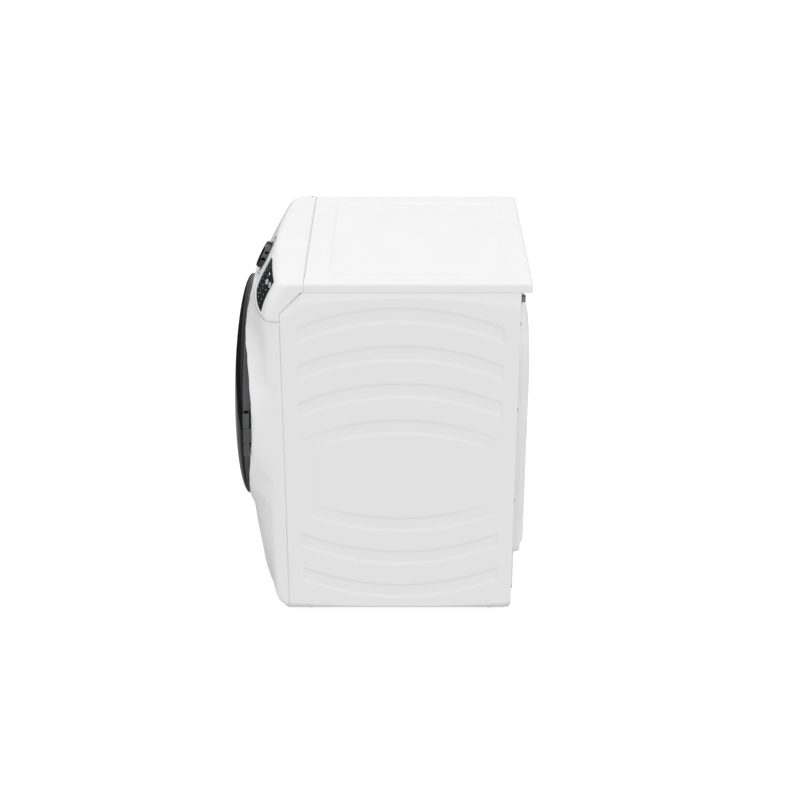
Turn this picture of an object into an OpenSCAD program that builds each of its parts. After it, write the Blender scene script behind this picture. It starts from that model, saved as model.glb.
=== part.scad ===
// Full-size front-loading vented tumble dryer.
// X runs across the front, Y runs from the front (-Y) to the back, Z is up from the floor.
// The origin is on the floor, under the middle of the overall box.

/* [Cabinet] */
// Width over the two side panels
cabinet_w = 686; // [680:1:700]
// Height of the cabinet above its base
cabinet_h = 955; // [950:1:960]
// Depth of the side panels, front seam to rear edge
side_d = 606; // [600:1:612]
// Overall depth, door dome to rear cover
overall_d = 795; // [791:1:799]
// Height of the levelling feet under the base
foot_h = 28; // [24:1:32]
// Sheet thickness of the outer panels
sheet_t = 1.2; // [1:0.1:1.5]
// Depth of the pressed arcs in the side panels
press_d = 3; // [2:0.5:4]
// How far the top panel overhangs the rear edge of the side panels
top_overhang = 29; // [25:1:32]

/* [Front] */
// How far the nose of the lower front panel stands ahead of the side seam
nose_d = 117; // [114:1:118]
// Plan radius of the lower front panel
bow_r = 726; // [720:1:740]
// Radius of the front vertical corners
corner_r = 35; // [32:1:38]
// Plan radius of the console face
console_r = 2250; // [2200:10:2300]
// Lean of the console face back from the vertical, in degrees
console_lean = 28; // [26:0.5:30]
// Height of the seam between the front panel and the console, above the base
console_seam = 848; // [846:1:850]
// Wall of the moulded front parts
wall = 3; // [2.5:0.5:3.5]

/* [Door] */
// Outer radius of the door ring
door_r = 308; // [306:1:310]
// Height of the door centre above the base
door_z = 520; // [518:1:521]
// How far the dark dome bulges ahead of the rim plane
dome_h = 40; // [38:1:42]
// Backward lean of the door plane, in degrees
door_lean = 1; // [0:0.5:1.5]
// Radius of the loading tunnel behind the door
tunnel_r = 222; // [220:1:224]
// Distance of the hinge axis from the door centre
hinge_x = 320; // [320:1:321]

/* [Drum] */
// Outer radius of the drum shell
drum_r = 316; // [312:1:318]
// Thickness of the drum shell
drum_t = 1; // [0.8:0.1:1.4]
// Length of the drum shell
drum_len = 520; // [510:5:525]
// Height of the three baffles
baffle_h = 62; // [50:1:66]

/* [Controls] */
// Diameter of the control knob
knob_d = 78; // [74:1:82]
// How far the knob stands out of the console
knob_h = 15; // [14:1:18]
// Travel of the push buttons
button_travel = 1.5; // [1:0.5:2]

/* [Services] */
// Outside radius of the exhaust outlet
duct_r = 51; // [50:0.5:52]
// Bore radius of the supply gland
gland_r = 6; // [5:0.5:7]

/* [Hidden] */
$fn = 96;

// Fine facet count for the large sweeps
big_fn = 360;
// Hair-line gap between neighbouring outer pieces
seam = 1;
// Small overshoot for cuts
eps = 0.5;
// Gap kept between pieces that pass each other
gap = 0.4;
// Radial running clearance of shafts in their bores
run = 0.05;

half_w = cabinet_w / 2;
base_z = foot_h;
top_z = foot_h + cabinet_h;
door_cz = base_z + door_z;

// Depth stations
rear_proud = 39.5;
side_rear_y = overall_d / 2 - rear_proud;
side_front_y = side_rear_y - side_d;
nose_y = side_front_y - nose_d;
bow_cy = nose_y + bow_r;
corner_cy = bow_cy - sqrt(pow(bow_r - corner_r, 2) - pow(half_w - corner_r, 2));
door_y = norm([dome_h * cos(door_lean), door_r * sin(door_lean)]) - overall_d / 2;

// Top panel
skirt_h = 26;
plate_front_y = side_front_y + 63;
plate_rear_y = side_rear_y + top_overhang;
plate_under_z = top_z - skirt_h;
recess_w = 550;
recess_front_y = plate_front_y + 62;
recess_rear_y = plate_rear_y - 59;
recess_r = 25;
recess_depth = 3;

// Console face: the crease under its top, and the plane that leans down and forward from it
crease_y = side_front_y - 32;
crease_z = top_z - 10;
lean_tan = tan(console_lean);
seam_z = base_z + console_seam;
notch_z = seam_z + 24;
console_axis_y = crease_y + console_r;

// Drum and bulkheads
drum_front_y = side_front_y + 26;
drum_rear_y = drum_front_y + drum_len;
neck_r = 306;
neck_len = 30;
bulkhead_t = 1.5;
front_bulkhead_y = side_front_y + 10;
rear_bulkhead_y = drum_rear_y + 10;
shelf_r = 300;
shelf_len = 44;
tunnel_y = door_y + 39;

// Drive
motor_x = 120;
motor_z = 125;
motor_r = 54;
motor_y0 = -30;
motor_y1 = 90;
shaft_r = 6;
belt_y = 120;
belt_w = 8;
belt_t = 2;
motor_pulley_r = 9;
idler_x = 0;
idler_z = 160;
idler_pulley_r = 18;
idler_pivot_x = 36;
idler_pivot_z = 78;
idler_bore_r = 4;
roller_r = 37;
roller_w = 22;
roller_angle = 35;
roller_y = drum_rear_y - 72;
axle_r = 6;

// Air path
wheel_r = 68;
wheel_y0 = -152;
wheel_y1 = -106;
scroll_r = 84;
scroll_y0 = -164;
scroll_y1 = -92;
inlet_r = 52;
duct_x = -70;
duct_z = base_z + 62;
duct_end_y = side_rear_y + rear_proud;
collar_len = 28;
filter_w = 244;
filter_t = 26;
filter_h = 165;
filter_y = -264;
filter_z = door_cz - tunnel_r - 4;

// Rear cover outline and its steps
cover_w = 560;
cover_low = base_z + 127;
cover_high = base_z + 872;
cover_corner = 170;
cover_step = 28;
cover_proud = 38;
cover_flange = 10;

// Levelling feet
foot_x = 283;
foot_front_y = side_front_y + 55;
foot_rear_y = side_rear_y - 55;
foot_pad_r = 21;
stud_r = 5;

// Supply gland on the rear panel, near the right-hand upper corner
gland_x = 319;
gland_z = base_z + 905;

// Buttons, as [x, distance down the face from the crease]
start_at = [232, 34];
power_at = [282, 22];
button_len = 26;
button_wid = 9;
knob_drop = 51;

// Display window on the console face, with X limits and distances down the face
display_x0 = 110;
display_x1 = 300;
display_top = 4;
display_low = 97;
display_r = 34;

// ---------- Shared shapes ----------

// Plan of the bowed front, moved inwards by i: a large arc that meets each flank in a corner arc
module bow_plan(i) {
    flank = half_w - i;
    cx = half_w - corner_r;
    reach = 1.4 * bow_r;
    dir = atan2(cx, bow_cy - corner_cy);
    intersection() {
        translate([0, bow_cy])
            circle(r = bow_r - i, $fn = 2 * big_fn);
        polygon([
            [0, bow_cy],
            [reach * sin(dir), bow_cy - reach * cos(dir)],
            [-reach * sin(dir), bow_cy - reach * cos(dir)]
        ]);
    }
    for (s = [-1, 1])
        translate([s * cx, corner_cy])
            circle(r = corner_r - i);
    polygon([
        [0, bow_cy - bow_r / 2],
        [-flank, bow_cy - bow_r / 2],
        [-flank, corner_cy],
        [-cx, corner_cy],
        [cx, corner_cy],
        [flank, corner_cy],
        [flank, bow_cy - bow_r / 2]
    ]);
}

// Swept side profile of the front, moved inwards by i: flat top, leaning console face, tucked-in foot
module lean_form(i) {
    low = base_z + i;
    high = top_z - i;
    lip = 10;
    slope_i = i / cos(console_lean);
    face_r = console_r - slope_i;
    far_r = console_r + 160;
    tuck_r = console_r + (crease_y - nose_y) - i;
    meet_z = crease_z - (far_r - face_r) / lean_tan;
    translate([0, console_axis_y, 0])
        rotate([0, 0, 255])
            rotate_extrude(angle = 30, $fn = 2 * big_fn)
                polygon([
                    [console_r - 400, low],
                    [tuck_r - 26, low],
                    [tuck_r - 10, low + 14],
                    [tuck_r - 2, low + 44],
                    [far_r, low + 44],
                    [far_r, meet_z],
                    [face_r, crease_z],
                    [face_r - lip, high],
                    [console_r - 400, high]
                ]);
}

// The whole front volume, moved inwards by i
module front_form(i) {
    intersection() {
        translate([0, 0, base_z])
            linear_extrude(cabinet_h)
                bow_plan(i);
        lean_form(i);
    }
}

// Region given by its (Y, Z) outline, taken right across the cabinet
module across(points, w = cabinet_w + 20) {
    translate([-w / 2, 0, 0])
        rotate([90, 0, 90])
            linear_extrude(w)
                polygon(points);
}

// Door axes: local Z points out of the front, local Y up the door face
module door_place() {
    translate([0, door_y, door_cz])
        rotate([90 - door_lean, 0, 0])
            children();
}

// Height of the dome ahead of the rim plane at radius r
function dome_z(r) = dome_h * sqrt(1 - pow(r / door_r, 2));

// Points along the dome from radius a to radius b, set back by d
function dome_arc(a, b, d, n = 12) =
    [for (k = [0 : n]) let (r = a + (b - a) * k / n) [r, dome_z(r) - d]];

// A ring with inner radius a, outer radius b, from height z0 to z1
module ring(a, b, z0, z1) {
    translate([0, 0, z0])
        difference() {
            cylinder(r = b, h = z1 - z0);
            translate([0, 0, -eps])
                cylinder(r = a, h = z1 - z0 + 2 * eps);
        }
}

// Cylinder along Y from y0 to y1 at (x, z)
module rod_y(r, y0, y1, x = 0, z = 0) {
    translate([x, y1, z])
        rotate([90, 0, 0])
            cylinder(r = r, h = y1 - y0);
}

// Ring along Y
module ring_y(a, b, y0, y1, x = 0, z = 0) {
    translate([x, y1, z])
        rotate([90, 0, 0])
            ring(a, b, 0, y1 - y0);
}

// Axis-aligned box between two corners
module span(a, b) {
    translate(a)
        cube(b - a);
}

// Distance from the console axis to the face, s down the slope
function face_r(s) = console_r + s * sin(console_lean);

// Point on the console face, at x across and s down the slope from the crease
function face_pt(x, s) =
    [x, console_axis_y - sqrt(pow(face_r(s), 2) - x * x), crease_z - s * cos(console_lean)];

// Local Z points straight out of the console face
module face_place(x, s) {
    translate(face_pt(x, s))
        rotate([0, 0, asin(x / face_r(s))])
            rotate([90 - console_lean, 0, 0])
                children();
}

// Rounded bar outline of length l and width w
module pill(l, w) {
    square([l - w, w], center = true);
    for (s = [-1, 1])
        translate([s * (l - w) / 2, 0])
            circle(d = w, $fn = 48);
}

// Rounded rectangle outline with exact corner arcs
module round_rect(w, h, r) {
    square([w, h - 2 * r], center = true);
    square([w - 2 * r, h], center = true);
    for (x = [-1, 1], y = [-1, 1])
        translate([x * (w / 2 - r), y * (h / 2 - r)])
            circle(r = r);
}

// ---------- Cabinet ----------

module base_pan() {
    t = 1.2;
    flange = 24;
    w = half_w - 3;
    y0 = side_front_y + 4;
    y1 = side_rear_y - 4;
    boss_r = 14;
    color("gainsboro")
        difference() {
            union() {
                difference() {
                    span([-w, y0, base_z], [w, y1, base_z + flange]);
                    span([-w + t, y0 + t, base_z + t], [w - t, y1 - t, base_z + flange + eps]);
                }
                for (x = [-foot_x, foot_x], y = [foot_front_y, foot_rear_y])
                    translate([x, y, base_z])
                        cylinder(r = boss_r, h = 14);
            }
            for (x = [-foot_x, foot_x], y = [foot_front_y, foot_rear_y])
                translate([x, y, base_z - eps])
                    cylinder(r = stud_r + run, h = 20);
            rod_y(duct_r + 2, y1 - 4, y1 + 1, duct_x, duct_z);
        }
}

// One pressed band of a side panel in its (Y, Z) plane:
// an arc of width w with its apex at z, within reach of the panel's middle
module band(z, w, bend, reach, r = 640) {
    mid_y = (side_front_y + side_rear_y) / 2;
    outer = bend > 0 ? r : r + w;
    intersection() {
        translate([mid_y, z - bend * outer])
            difference() {
                circle(r = bend > 0 ? r : r + w, $fn = big_fn);
                circle(r = bend > 0 ? r - w : r, $fn = big_fn);
            }
        translate([mid_y - reach, z - 130])
            square([2 * reach, 260]);
    }
}

// Grow is how far each band is widened, for the inner side of the pressing
module bands(grow) {
    w = 43 + 2 * grow;
    for (z = [890, 786, 681])
        band(base_z + z + grow, w, 1, 265 + grow);
    band(base_z + 576 + grow, w, 1, 212 + grow);
    for (z = [239, 137, 31])
        band(base_z + z - grow, w, -1, 262 + grow);
}

// Outline of a side panel in its (Y, Z) plane, with the sloping cut under the top panel's front corner
function side_outline(i) = [
    [side_front_y + i, base_z + i],
    [side_front_y + i, notch_z],
    [plate_front_y - 6 + i, plate_under_z - i],
    [side_rear_y - i, plate_under_z - i],
    [side_rear_y - i, base_z + 12 + i],
    [side_rear_y - 10 - i, base_z + i]
];

// Right-hand side panel; the left-hand one is its mirror image
module side_panel() {
    flange = 18;
    flange_y = side_rear_y - sheet_t - 0.1;
    difference() {
        union() {
            translate([half_w, 0, 0])
                rotate([90, 0, 90])
                    translate([0, 0, -sheet_t])
                        linear_extrude(sheet_t)
                            polygon(side_outline(0));
            translate([half_w - sheet_t - press_d, 0, 0])
                rotate([90, 0, 90])
                    linear_extrude(press_d + sheet_t / 2)
                        bands(sheet_t);
            span([half_w - flange, flange_y - sheet_t, base_z + 12],
                 [half_w, flange_y, plate_under_z]);
            span([half_w - flange, side_front_y, base_z],
                 [half_w, side_front_y + sheet_t, seam_z]);
            span([half_w - flange, plate_front_y + 6, plate_under_z - sheet_t],
                 [half_w, side_rear_y, plate_under_z]);
        }
        translate([half_w - press_d, 0, 0])
            rotate([90, 0, 90])
                linear_extrude(press_d + eps)
                    bands(0);
        span([half_w - flange - 1, flange_y - 4, gland_z - 16],
             [half_w - 2 * sheet_t, flange_y + 1, gland_z + 16]);
        screw_holes();
    }
}

module right_side_panel() {
    color("white")
        side_panel();
}

module left_side_panel() {
    color("white")
        mirror([1, 0, 0])
            side_panel();
}

// Outer form of the top panel, shrunk inwards by i, with chamfered upper edges
module top_form(i) {
    edge = 4;
    mid_y = (plate_front_y + plate_rear_y) / 2;
    len_y = plate_rear_y - plate_front_y;
    translate([0, mid_y, plate_under_z - (i > 0 ? 1 : 0)])
        linear_extrude(skirt_h - edge)
            round_rect(cabinet_w - 2 * i, len_y - 2 * i, 6);
    translate([0, mid_y, plate_under_z])
        linear_extrude(skirt_h - i)
            round_rect(cabinet_w - 2 * edge - 2 * i, len_y - 2 * edge - 2 * i, 6);
}

module top_panel() {
    recess_mid = (recess_front_y + recess_rear_y) / 2;
    recess_len = recess_rear_y - recess_front_y;
    tray = recess_depth + sheet_t;
    color("white")
        difference() {
            union() {
                difference() {
                    top_form(0);
                    top_form(sheet_t);
                }
                translate([0, recess_mid, top_z - tray])
                    linear_extrude(tray)
                        round_rect(recess_w + 2 * sheet_t, recess_len + 2 * sheet_t, recess_r + sheet_t);
            }
            translate([0, recess_mid, top_z - recess_depth])
                linear_extrude(recess_depth + eps)
                    round_rect(recess_w, recess_len, recess_r);
        }
}

// Door seat heights in door axes
seat_z = -30;
seat_r = door_r + 4;
surround_r = 326;
surround_z = -20;
hinge_z = -10;
hinge_notch = 112;
notch_floor = -28;
pocket_z = -32;
pull_half = 75;

// Door seat: the flat ring behind the door and the raised rim round it, hollow from behind
module door_surround() {
    deep = 90;
    door_place()
        difference() {
            translate([0, 0, -deep])
                cylinder(r = surround_r, h = deep + surround_z);
            translate([0, 0, seat_z])
                cylinder(r = seat_r, h = deep);
            translate([0, 0, -deep - 1])
                cylinder(r = surround_r - wall, h = deep + 1 + seat_z - wall);
            translate([0, 0, -deep - 1])
                cylinder(r = tunnel_r - 2, h = 2 * deep);
        }
}

module front_panel() {
    low_region = [
        [nose_y - 90, base_z - eps],
        [side_front_y - seam, base_z - eps],
        [side_front_y - seam, seam_z - seam],
        [nose_y - 90, seam_z - seam]
    ];
    color("white")
        difference() {
            union() {
                difference() {
                    intersection() {
                        difference() {
                            front_form(0);
                            front_form(wall);
                        }
                        across(low_region);
                    }
                    door_place()
                        translate([0, 0, -160])
                            cylinder(r = surround_r - wall / 2, h = 260);
                }
                intersection() {
                    door_surround();
                    across(low_region);
                }
                intersection() {
                    front_form(0);
                    door_place()
                        ring(seat_r, surround_r, surround_z - eps, 40);
                    across(low_region);
                }
            }
            span([-filter_w / 2 - 10, filter_y - filter_t / 2 - 6, base_z + 60],
                 [filter_w / 2 + 10, front_bulkhead_y, door_cz - 160]);
            door_place() {
                translate([hinge_x - 7, -hinge_notch, notch_floor])
                    cube([60, 2 * hinge_notch, 80]);
                translate([hinge_x - 6.5, -knuckle_half - 8.5, pocket_z])
                    cube([13, 2 * knuckle_half + 17, 20]);
                translate([-264, -14, -60])
                    cube([18, 28, 60]);
                translate([-surround_r - 6, -pull_half, notch_floor])
                    cube([20, 2 * pull_half, 80]);
            }
        }
}

module control_console() {
    region = [
        [nose_y - 90, seam_z],
        [side_front_y, seam_z],
        [side_front_y, notch_z + 0.5],
        [plate_front_y - 6 - seam, plate_under_z + 0.5],
        [plate_front_y - seam, plate_under_z + 0.5],
        [plate_front_y - seam, top_z + eps],
        [nose_y - 90, top_z + eps]
    ];
    color("white")
        difference() {
            intersection() {
                difference() {
                    front_form(0);
                    front_form(wall + 2);
                }
                across(region);
            }
            intersection() {
                difference() {
                    front_form(-eps);
                    front_form(wall);
                }
                display_prism(gap);
            }
            face_place(0, knob_drop)
                translate([0, 0, -20])
                    cylinder(r = 6, h = 40);
            for (p = [start_at, power_at])
                face_place(p[0], p[1])
                    translate([0, 0, -20])
                        linear_extrude(40)
                            pill(button_len + 2 * gap, button_wid + 2 * gap);
        }
}

// Outline of the display window along the console face, grown by g
module display_prism(g) {
    w = display_x1 - display_x0 + 2 * g;
    h = display_low - display_top + 2 * g;
    mid_x = (display_x0 + display_x1) / 2;
    mid_s = (display_top + display_low) / 2;
    translate([mid_x, face_pt(0, mid_s)[1], face_pt(0, mid_s)[2]])
        rotate([90 - console_lean, 0, 0])
            translate([0, 0, -60])
                linear_extrude(100)
                    difference() {
                        square([w, h], center = true);
                        translate([-w / 2, -h / 2])
                            difference() {
                                square(2 * display_r, center = true);
                                translate([display_r, display_r])
                                    circle(r = display_r);
                            }
                    }
}

module display_window() {
    above_seam = [
        [nose_y - 90, seam_z + 3],
        [side_front_y, seam_z + 3],
        [side_front_y, top_z],
        [nose_y - 90, top_z]
    ];
    color([0.16, 0.17, 0.18])
        difference() {
            intersection() {
                difference() {
                    front_form(0.2);
                    front_form(wall);
                }
                display_prism(0);
                across(above_seam);
            }
            for (p = [start_at, power_at])
                face_place(p[0], p[1])
                    translate([0, 0, -20])
                        linear_extrude(40)
                            pill(button_len + 2 * gap, button_wid + 2 * gap);
        }
}

module control_board() {
    color("darkgreen")
        face_place(150, knob_drop)
            translate([-100, -32, -24])
                cube([230, 56, 1.6]);
}

module knob_encoder() {
    color("dimgray")
        face_place(0, knob_drop)
            difference() {
                translate([-15, -15, -22])
                    cube([30, 30, 14]);
                translate([0, 0, -19])
                    cylinder(r = 3 + run, h = 30);
            }
}

module front_bulkhead() {
    w = half_w - 4;
    y = front_bulkhead_y;
    color("silver")
        difference() {
            union() {
                difference() {
                    span([-w, y, base_z + 26], [w, y + bulkhead_t, seam_z + 30]);
                    rod_y(tunnel_r, y - eps, y + bulkhead_t + eps, 0, door_cz);
                    rod_y(inlet_r + 4, y - eps, y + bulkhead_t + eps, motor_x, motor_z);
                }
                ring_y(shelf_r - 1.5, shelf_r, y, y + shelf_len, 0, door_cz);
                ring_y(tunnel_r, tunnel_r + 1.5, tunnel_y, y + shelf_len, 0, door_cz);
                ring_y(tunnel_r, shelf_r, y + shelf_len - 1.5, y + shelf_len, 0, door_cz);
                ring_y(tunnel_r, tunnel_r + 10, tunnel_y, tunnel_y + 2, 0, door_cz);
            }
            span([-filter_w / 2 - 2, filter_y - filter_t / 2 - 2, filter_z - 80],
                 [filter_w / 2 + 2, filter_y + filter_t / 2 + 2, door_cz]);
        }
}

module rear_bulkhead() {
    w = half_w - 6;
    y = rear_bulkhead_y;
    leg_top = duct_z + duct_r + 12;
    color("silver")
        difference() {
            union() {
                span([-w, y, base_z + 20], [w, y + bulkhead_t, seam_z + 60]);
                ring_y(shelf_r - 1.5, shelf_r, y - shelf_len, y + eps, 0, door_cz);
            }
            for (k = [0 : 5], j = [0 : 3])
                rod_y(8, y - eps, y + bulkhead_t + eps,
                      150 + 24 * (j - 1.5), door_cz - 150 + 24 * (k - 2.5));
            span([-w + 130, y - eps, base_z], [w - 130, y + bulkhead_t + eps, leg_top]);
            for (s = [-1, 1])
                rod_y(axle_r + run, y - eps, y + bulkhead_t + eps,
                      s * roller_cx, roller_cz);
        }
}

// Main sheet, and below it a service pan to each side of the exhaust duct
module rear_panel() {
    w = half_w - 3;
    pad = 11;
    pad_z = cover_low - cover_flange - 1;
    y = side_rear_y;
    color("white")
        difference() {
            union() {
                span([-w, y - sheet_t, base_z + 6], [w, y, plate_under_z - 2]);
                span([-250, y - sheet_t, base_z + 4], [250, y + pad, pad_z]);
            }
            span([-250 + sheet_t, y - sheet_t - eps, base_z + 4 + sheet_t],
                 [250 - sheet_t, y + pad - sheet_t, pad_z - sheet_t]);
            arch_slab(-22, -sheet_t - eps, eps);
            span([duct_x - duct_r - 1, y - sheet_t - eps, base_z + 3],
                 [duct_x + duct_r + 1, y + pad + 1, pad_z + gap]);
            span([-w - 1, y - sheet_t - eps, pad_z], [w + 1, y + eps, pad_z + gap]);
            rod_y(gland_r + 6.5, y - 2, y + 1, gland_x, gland_z);
            span([250, y - 2, gland_z - 40], [296, y + 1, gland_z + 10]);
            screw_holes();
        }
}

// Arched outline in X and Z, grown by g: wide top corners and small bottom ones
module arch(g) {
    half = cover_w / 2 + g;
    high = cover_high + g;
    low = cover_low - g;
    foot_r = 30 + g;
    top_r = cover_corner + g;
    translate([-half, low + foot_r])
        square([2 * half, high - low - foot_r - top_r]);
    translate([-half + foot_r, low])
        square([2 * half - 2 * foot_r, foot_r + 1]);
    translate([-half + top_r, high - top_r - 1])
        square([2 * half - 2 * top_r, top_r + 1]);
    for (s = [-1, 1]) {
        translate([s * (half - foot_r), low + foot_r])
            circle(r = foot_r);
        translate([s * (half - top_r), high - top_r])
            circle(r = top_r);
    }
}

// Slab of the arched outline, grown by g, from y0 to y1 behind the rear panel
module arch_slab(g, y0, y1) {
    translate([0, side_rear_y + y1, 0])
        rotate([90, 0, 0])
            linear_extrude(y1 - y0)
                arch(g);
}

// Stamped cover: a flanged pan with a raised field
module rear_cover() {
    t = 1.5;
    inset = -26;
    color("gainsboro")
        difference() {
            union() {
                arch_slab(cover_flange, 0, t);
                arch_slab(0, 0, cover_step);
                arch_slab(inset, 0, cover_proud);
            }
            arch_slab(-t, -1, cover_step - t);
            arch_slab(inset - t, -1, cover_proud - t);
        }
}

module terminal_cover() {
    color("gainsboro")
        difference() {
            span([246, side_rear_y, gland_z - 44], [300, side_rear_y + 6, gland_z + 14]);
            span([246 + sheet_t, side_rear_y - 1, gland_z - 44 + sheet_t],
                 [300 - sheet_t, side_rear_y + 6 - sheet_t, gland_z + 14 - sheet_t]);
        }
}

module terminal_block() {
    color("black")
        difference() {
            span([258, side_rear_y - 34, gland_z - 34], [294, side_rear_y - 10, gland_z + 4]);
            for (k = [-1, 0, 1])
                rod_y(2.5, side_rear_y - 20, side_rear_y, 276 + 11 * k, gland_z - 15);
        }
}

module cord_gland() {
    out = 12;
    color([0.3, 0.3, 0.31])
        difference() {
            union() {
                span([gland_x - 8, side_rear_y + 0.2, gland_z - 7.5],
                     [gland_x + 8, side_rear_y + out, gland_z + 7.5]);
                rod_y(gland_r + 6, side_rear_y - 16, side_rear_y + 1, gland_x, gland_z);
                rod_y(gland_r + 9, side_rear_y + 0.2, side_rear_y + 2, gland_x, gland_z);
            }
            rod_y(gland_r, side_rear_y - 20, side_rear_y + out + 1, gland_x, gland_z);
        }
}

module exhaust_duct() {
    color("silver")
        union() {
            ring_y(duct_r - 1.6, duct_r - 0.6, scroll_y1 - 6, duct_end_y - 1, duct_x, duct_z);
            ring_y(duct_r - 1.6, duct_r, duct_end_y - collar_len, duct_end_y, duct_x, duct_z);
            ring_y(duct_r - 1.6, duct_r + 8, scroll_y1 + 0.2, scroll_y1 + 1.4, duct_x, duct_z);
        }
}

module front_drum_seal() {
    y = drum_front_y + 14;
    color("dimgray")
        ring_y(shelf_r, neck_r - drum_t - gap, y, y + 12, 0, door_cz);
}

module rear_drum_seal() {
    y = drum_rear_y - 26;
    color("dimgray")
        ring_y(shelf_r, neck_r - drum_t - gap, y, y + 12, 0, door_cz);
}

// Slide pads under the drum's front neck, either side of the top
module front_glides() {
    y = drum_front_y + 2;
    spread = 28;
    color("ivory")
        for (s = [-1, 1])
            intersection() {
                ring_y(shelf_r, neck_r - drum_t - gap, y, y + 10, 0, door_cz);
                translate([0, y - eps, door_cz])
                    rotate([0, s * spread, 0])
                        translate([-30, 0, 250])
                            cube([60, 12, 80]);
            }
}

roller_cx = (drum_r + gap + roller_r) * sin(roller_angle);
roller_cz = door_cz - (drum_r + gap + roller_r) * cos(roller_angle);

module roller_axles() {
    color("gray")
        for (s = [-1, 1]) {
            rod_y(axle_r, roller_y - 6, rear_bulkhead_y + bulkhead_t + 8, s * roller_cx, roller_cz);
            rod_y(axle_r + 5, roller_y + roller_w + 1, rear_bulkhead_y - 0.2, s * roller_cx, roller_cz);
        }
}

module drum_roller(s) {
    color("darkslategray")
        difference() {
            union() {
                rod_y(roller_r, roller_y, roller_y + roller_w, s * roller_cx, roller_cz);
                rod_y(axle_r + 5, roller_y - 2, roller_y + roller_w, s * roller_cx, roller_cz);
            }
            rod_y(axle_r + run, roller_y - 5, roller_y + roller_w + 5, s * roller_cx, roller_cz);
            for (e = [roller_y - eps, roller_y + roller_w - 6])
                ring_y(axle_r + 8, roller_r - 8, e, e + 6 + eps, s * roller_cx, roller_cz);
        }
}

module left_drum_roller() {
    drum_roller(-1);
}

module right_drum_roller() {
    drum_roller(1);
}

// ---------- Drum ----------

module drum_shell() {
    y0 = drum_front_y;
    y1 = drum_rear_y;
    half = drum_len / 2;
    bead = 3;
    color("lightsteelblue")
        translate([0, (y0 + y1) / 2, door_cz])
            rotate([90, 0, 0])
                rotate_extrude($fn = 180)
                    polygon([
                        [neck_r, -half],
                        [neck_r, -half + neck_len],
                        [drum_r, -half + neck_len + 10],
                        [drum_r, -90],
                        [drum_r - bead, -84],
                        [drum_r - bead, -66],
                        [drum_r, -60],
                        [drum_r, half - neck_len - 10],
                        [neck_r, half - neck_len],
                        [neck_r, half],
                        [neck_r - drum_t, half],
                        [neck_r - drum_t, half - neck_len - 0.3],
                        [drum_r - drum_t, half - neck_len - 10.3],
                        [drum_r - drum_t, -60.4],
                        [drum_r - bead - drum_t, -66.4],
                        [drum_r - bead - drum_t, -83.6],
                        [drum_r - drum_t, -89.6],
                        [drum_r - drum_t, -half + neck_len + 10.3],
                        [neck_r - drum_t, -half + neck_len + 0.3],
                        [neck_r - drum_t, -half]
                    ]);
}

module drum_baffles() {
    y0 = drum_front_y + 46;
    y1 = drum_rear_y - 46;
    seat = drum_r - 6.3;
    foot = 36;
    crest = 13;
    color("lightgray")
        for (a = [90, 210, 330])
            translate([0, y1, door_cz])
                rotate([90, 0, 0])
                    rotate([0, 0, a])
                        linear_extrude(y1 - y0)
                            difference() {
                                polygon([
                                    [seat, -foot],
                                    [seat - baffle_h + 12, -crest],
                                    [seat - baffle_h, -crest / 2],
                                    [seat - baffle_h, crest / 2],
                                    [seat - baffle_h + 12, crest],
                                    [seat, foot]
                                ]);
                                polygon([
                                    [seat + 1, -foot + 7],
                                    [seat - baffle_h + 13, -crest + 3],
                                    [seat - baffle_h + 13, crest - 3],
                                    [seat + 1, foot - 7]
                                ]);
                            }
}

// ---------- Drive ----------

module motor_housing() {
    color("gray")
        difference() {
            rod_y(motor_r, motor_y0, motor_y1, motor_x, motor_z);
            rod_y(motor_r - 4, motor_y0 + 4, motor_y1 - 4, motor_x, motor_z);
            rod_y(shaft_r + run, motor_y0 - eps, motor_y1 + eps, motor_x, motor_z);
            for (k = [0 : 7])
                translate([motor_x, 0, motor_z])
                    rotate([0, 22.5 + 45 * k, 0])
                        span([motor_r - 8, -8, -4], [motor_r + 2, 68, 4]);
        }
}

// Two saddles under the motor, and the post that the idler arm turns on
module motor_cradle() {
    z0 = base_z + 1.4;
    post_y = belt_y - 44;
    color("silver") {
        difference() {
            for (y = [motor_y0 + 14, motor_y1 - 24])
                span([motor_x - 66, y, z0], [motor_x + 66, y + 10, motor_z - 22]);
            rod_y(motor_r + 0.2, motor_y0, motor_y1, motor_x, motor_z);
        }
        rod_y(5, post_y, belt_y - 3, idler_pivot_x, idler_pivot_z);
        span([idler_pivot_x - 14, post_y, z0], [idler_pivot_x + 14, post_y + 6, idler_pivot_z + 10]);
    }
}

// Shaft with the small belt pulley at one end and the blower wheel's seat at the other
module motor_shaft() {
    color("gray")
        difference() {
            union() {
                rod_y(shaft_r, wheel_y0 + 6, belt_y + belt_w + 6, motor_x, motor_z);
                rod_y(motor_pulley_r, belt_y - 2, belt_y + belt_w + 2, motor_x, motor_z);
                rod_y(motor_pulley_r + 3, belt_y - 4, belt_y - 2, motor_x, motor_z);
            }
            rod_y(1.5, belt_y + belt_w, belt_y + belt_w + 8, motor_x, motor_z);
        }
}

module blower_wheel() {
    blades = 16;
    color("white")
        difference() {
            union() {
                rod_y(wheel_r, wheel_y1 - 3, wheel_y1, motor_x, motor_z);
                ring_y(wheel_r - 16, wheel_r, wheel_y0, wheel_y0 + 2, motor_x, motor_z);
                rod_y(shaft_r + 6, wheel_y0 + 10, wheel_y1, motor_x, motor_z);
                for (k = [0 : blades - 1])
                    translate([motor_x, 0, motor_z])
                        rotate([0, 360 * k / blades, 0])
                            span([wheel_r - 15, wheel_y0, -1], [wheel_r - 1, wheel_y1, 1]);
            }
            rod_y(shaft_r, wheel_y0 - 1, wheel_y1 + 1, motor_x, motor_z);
        }
}

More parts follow.
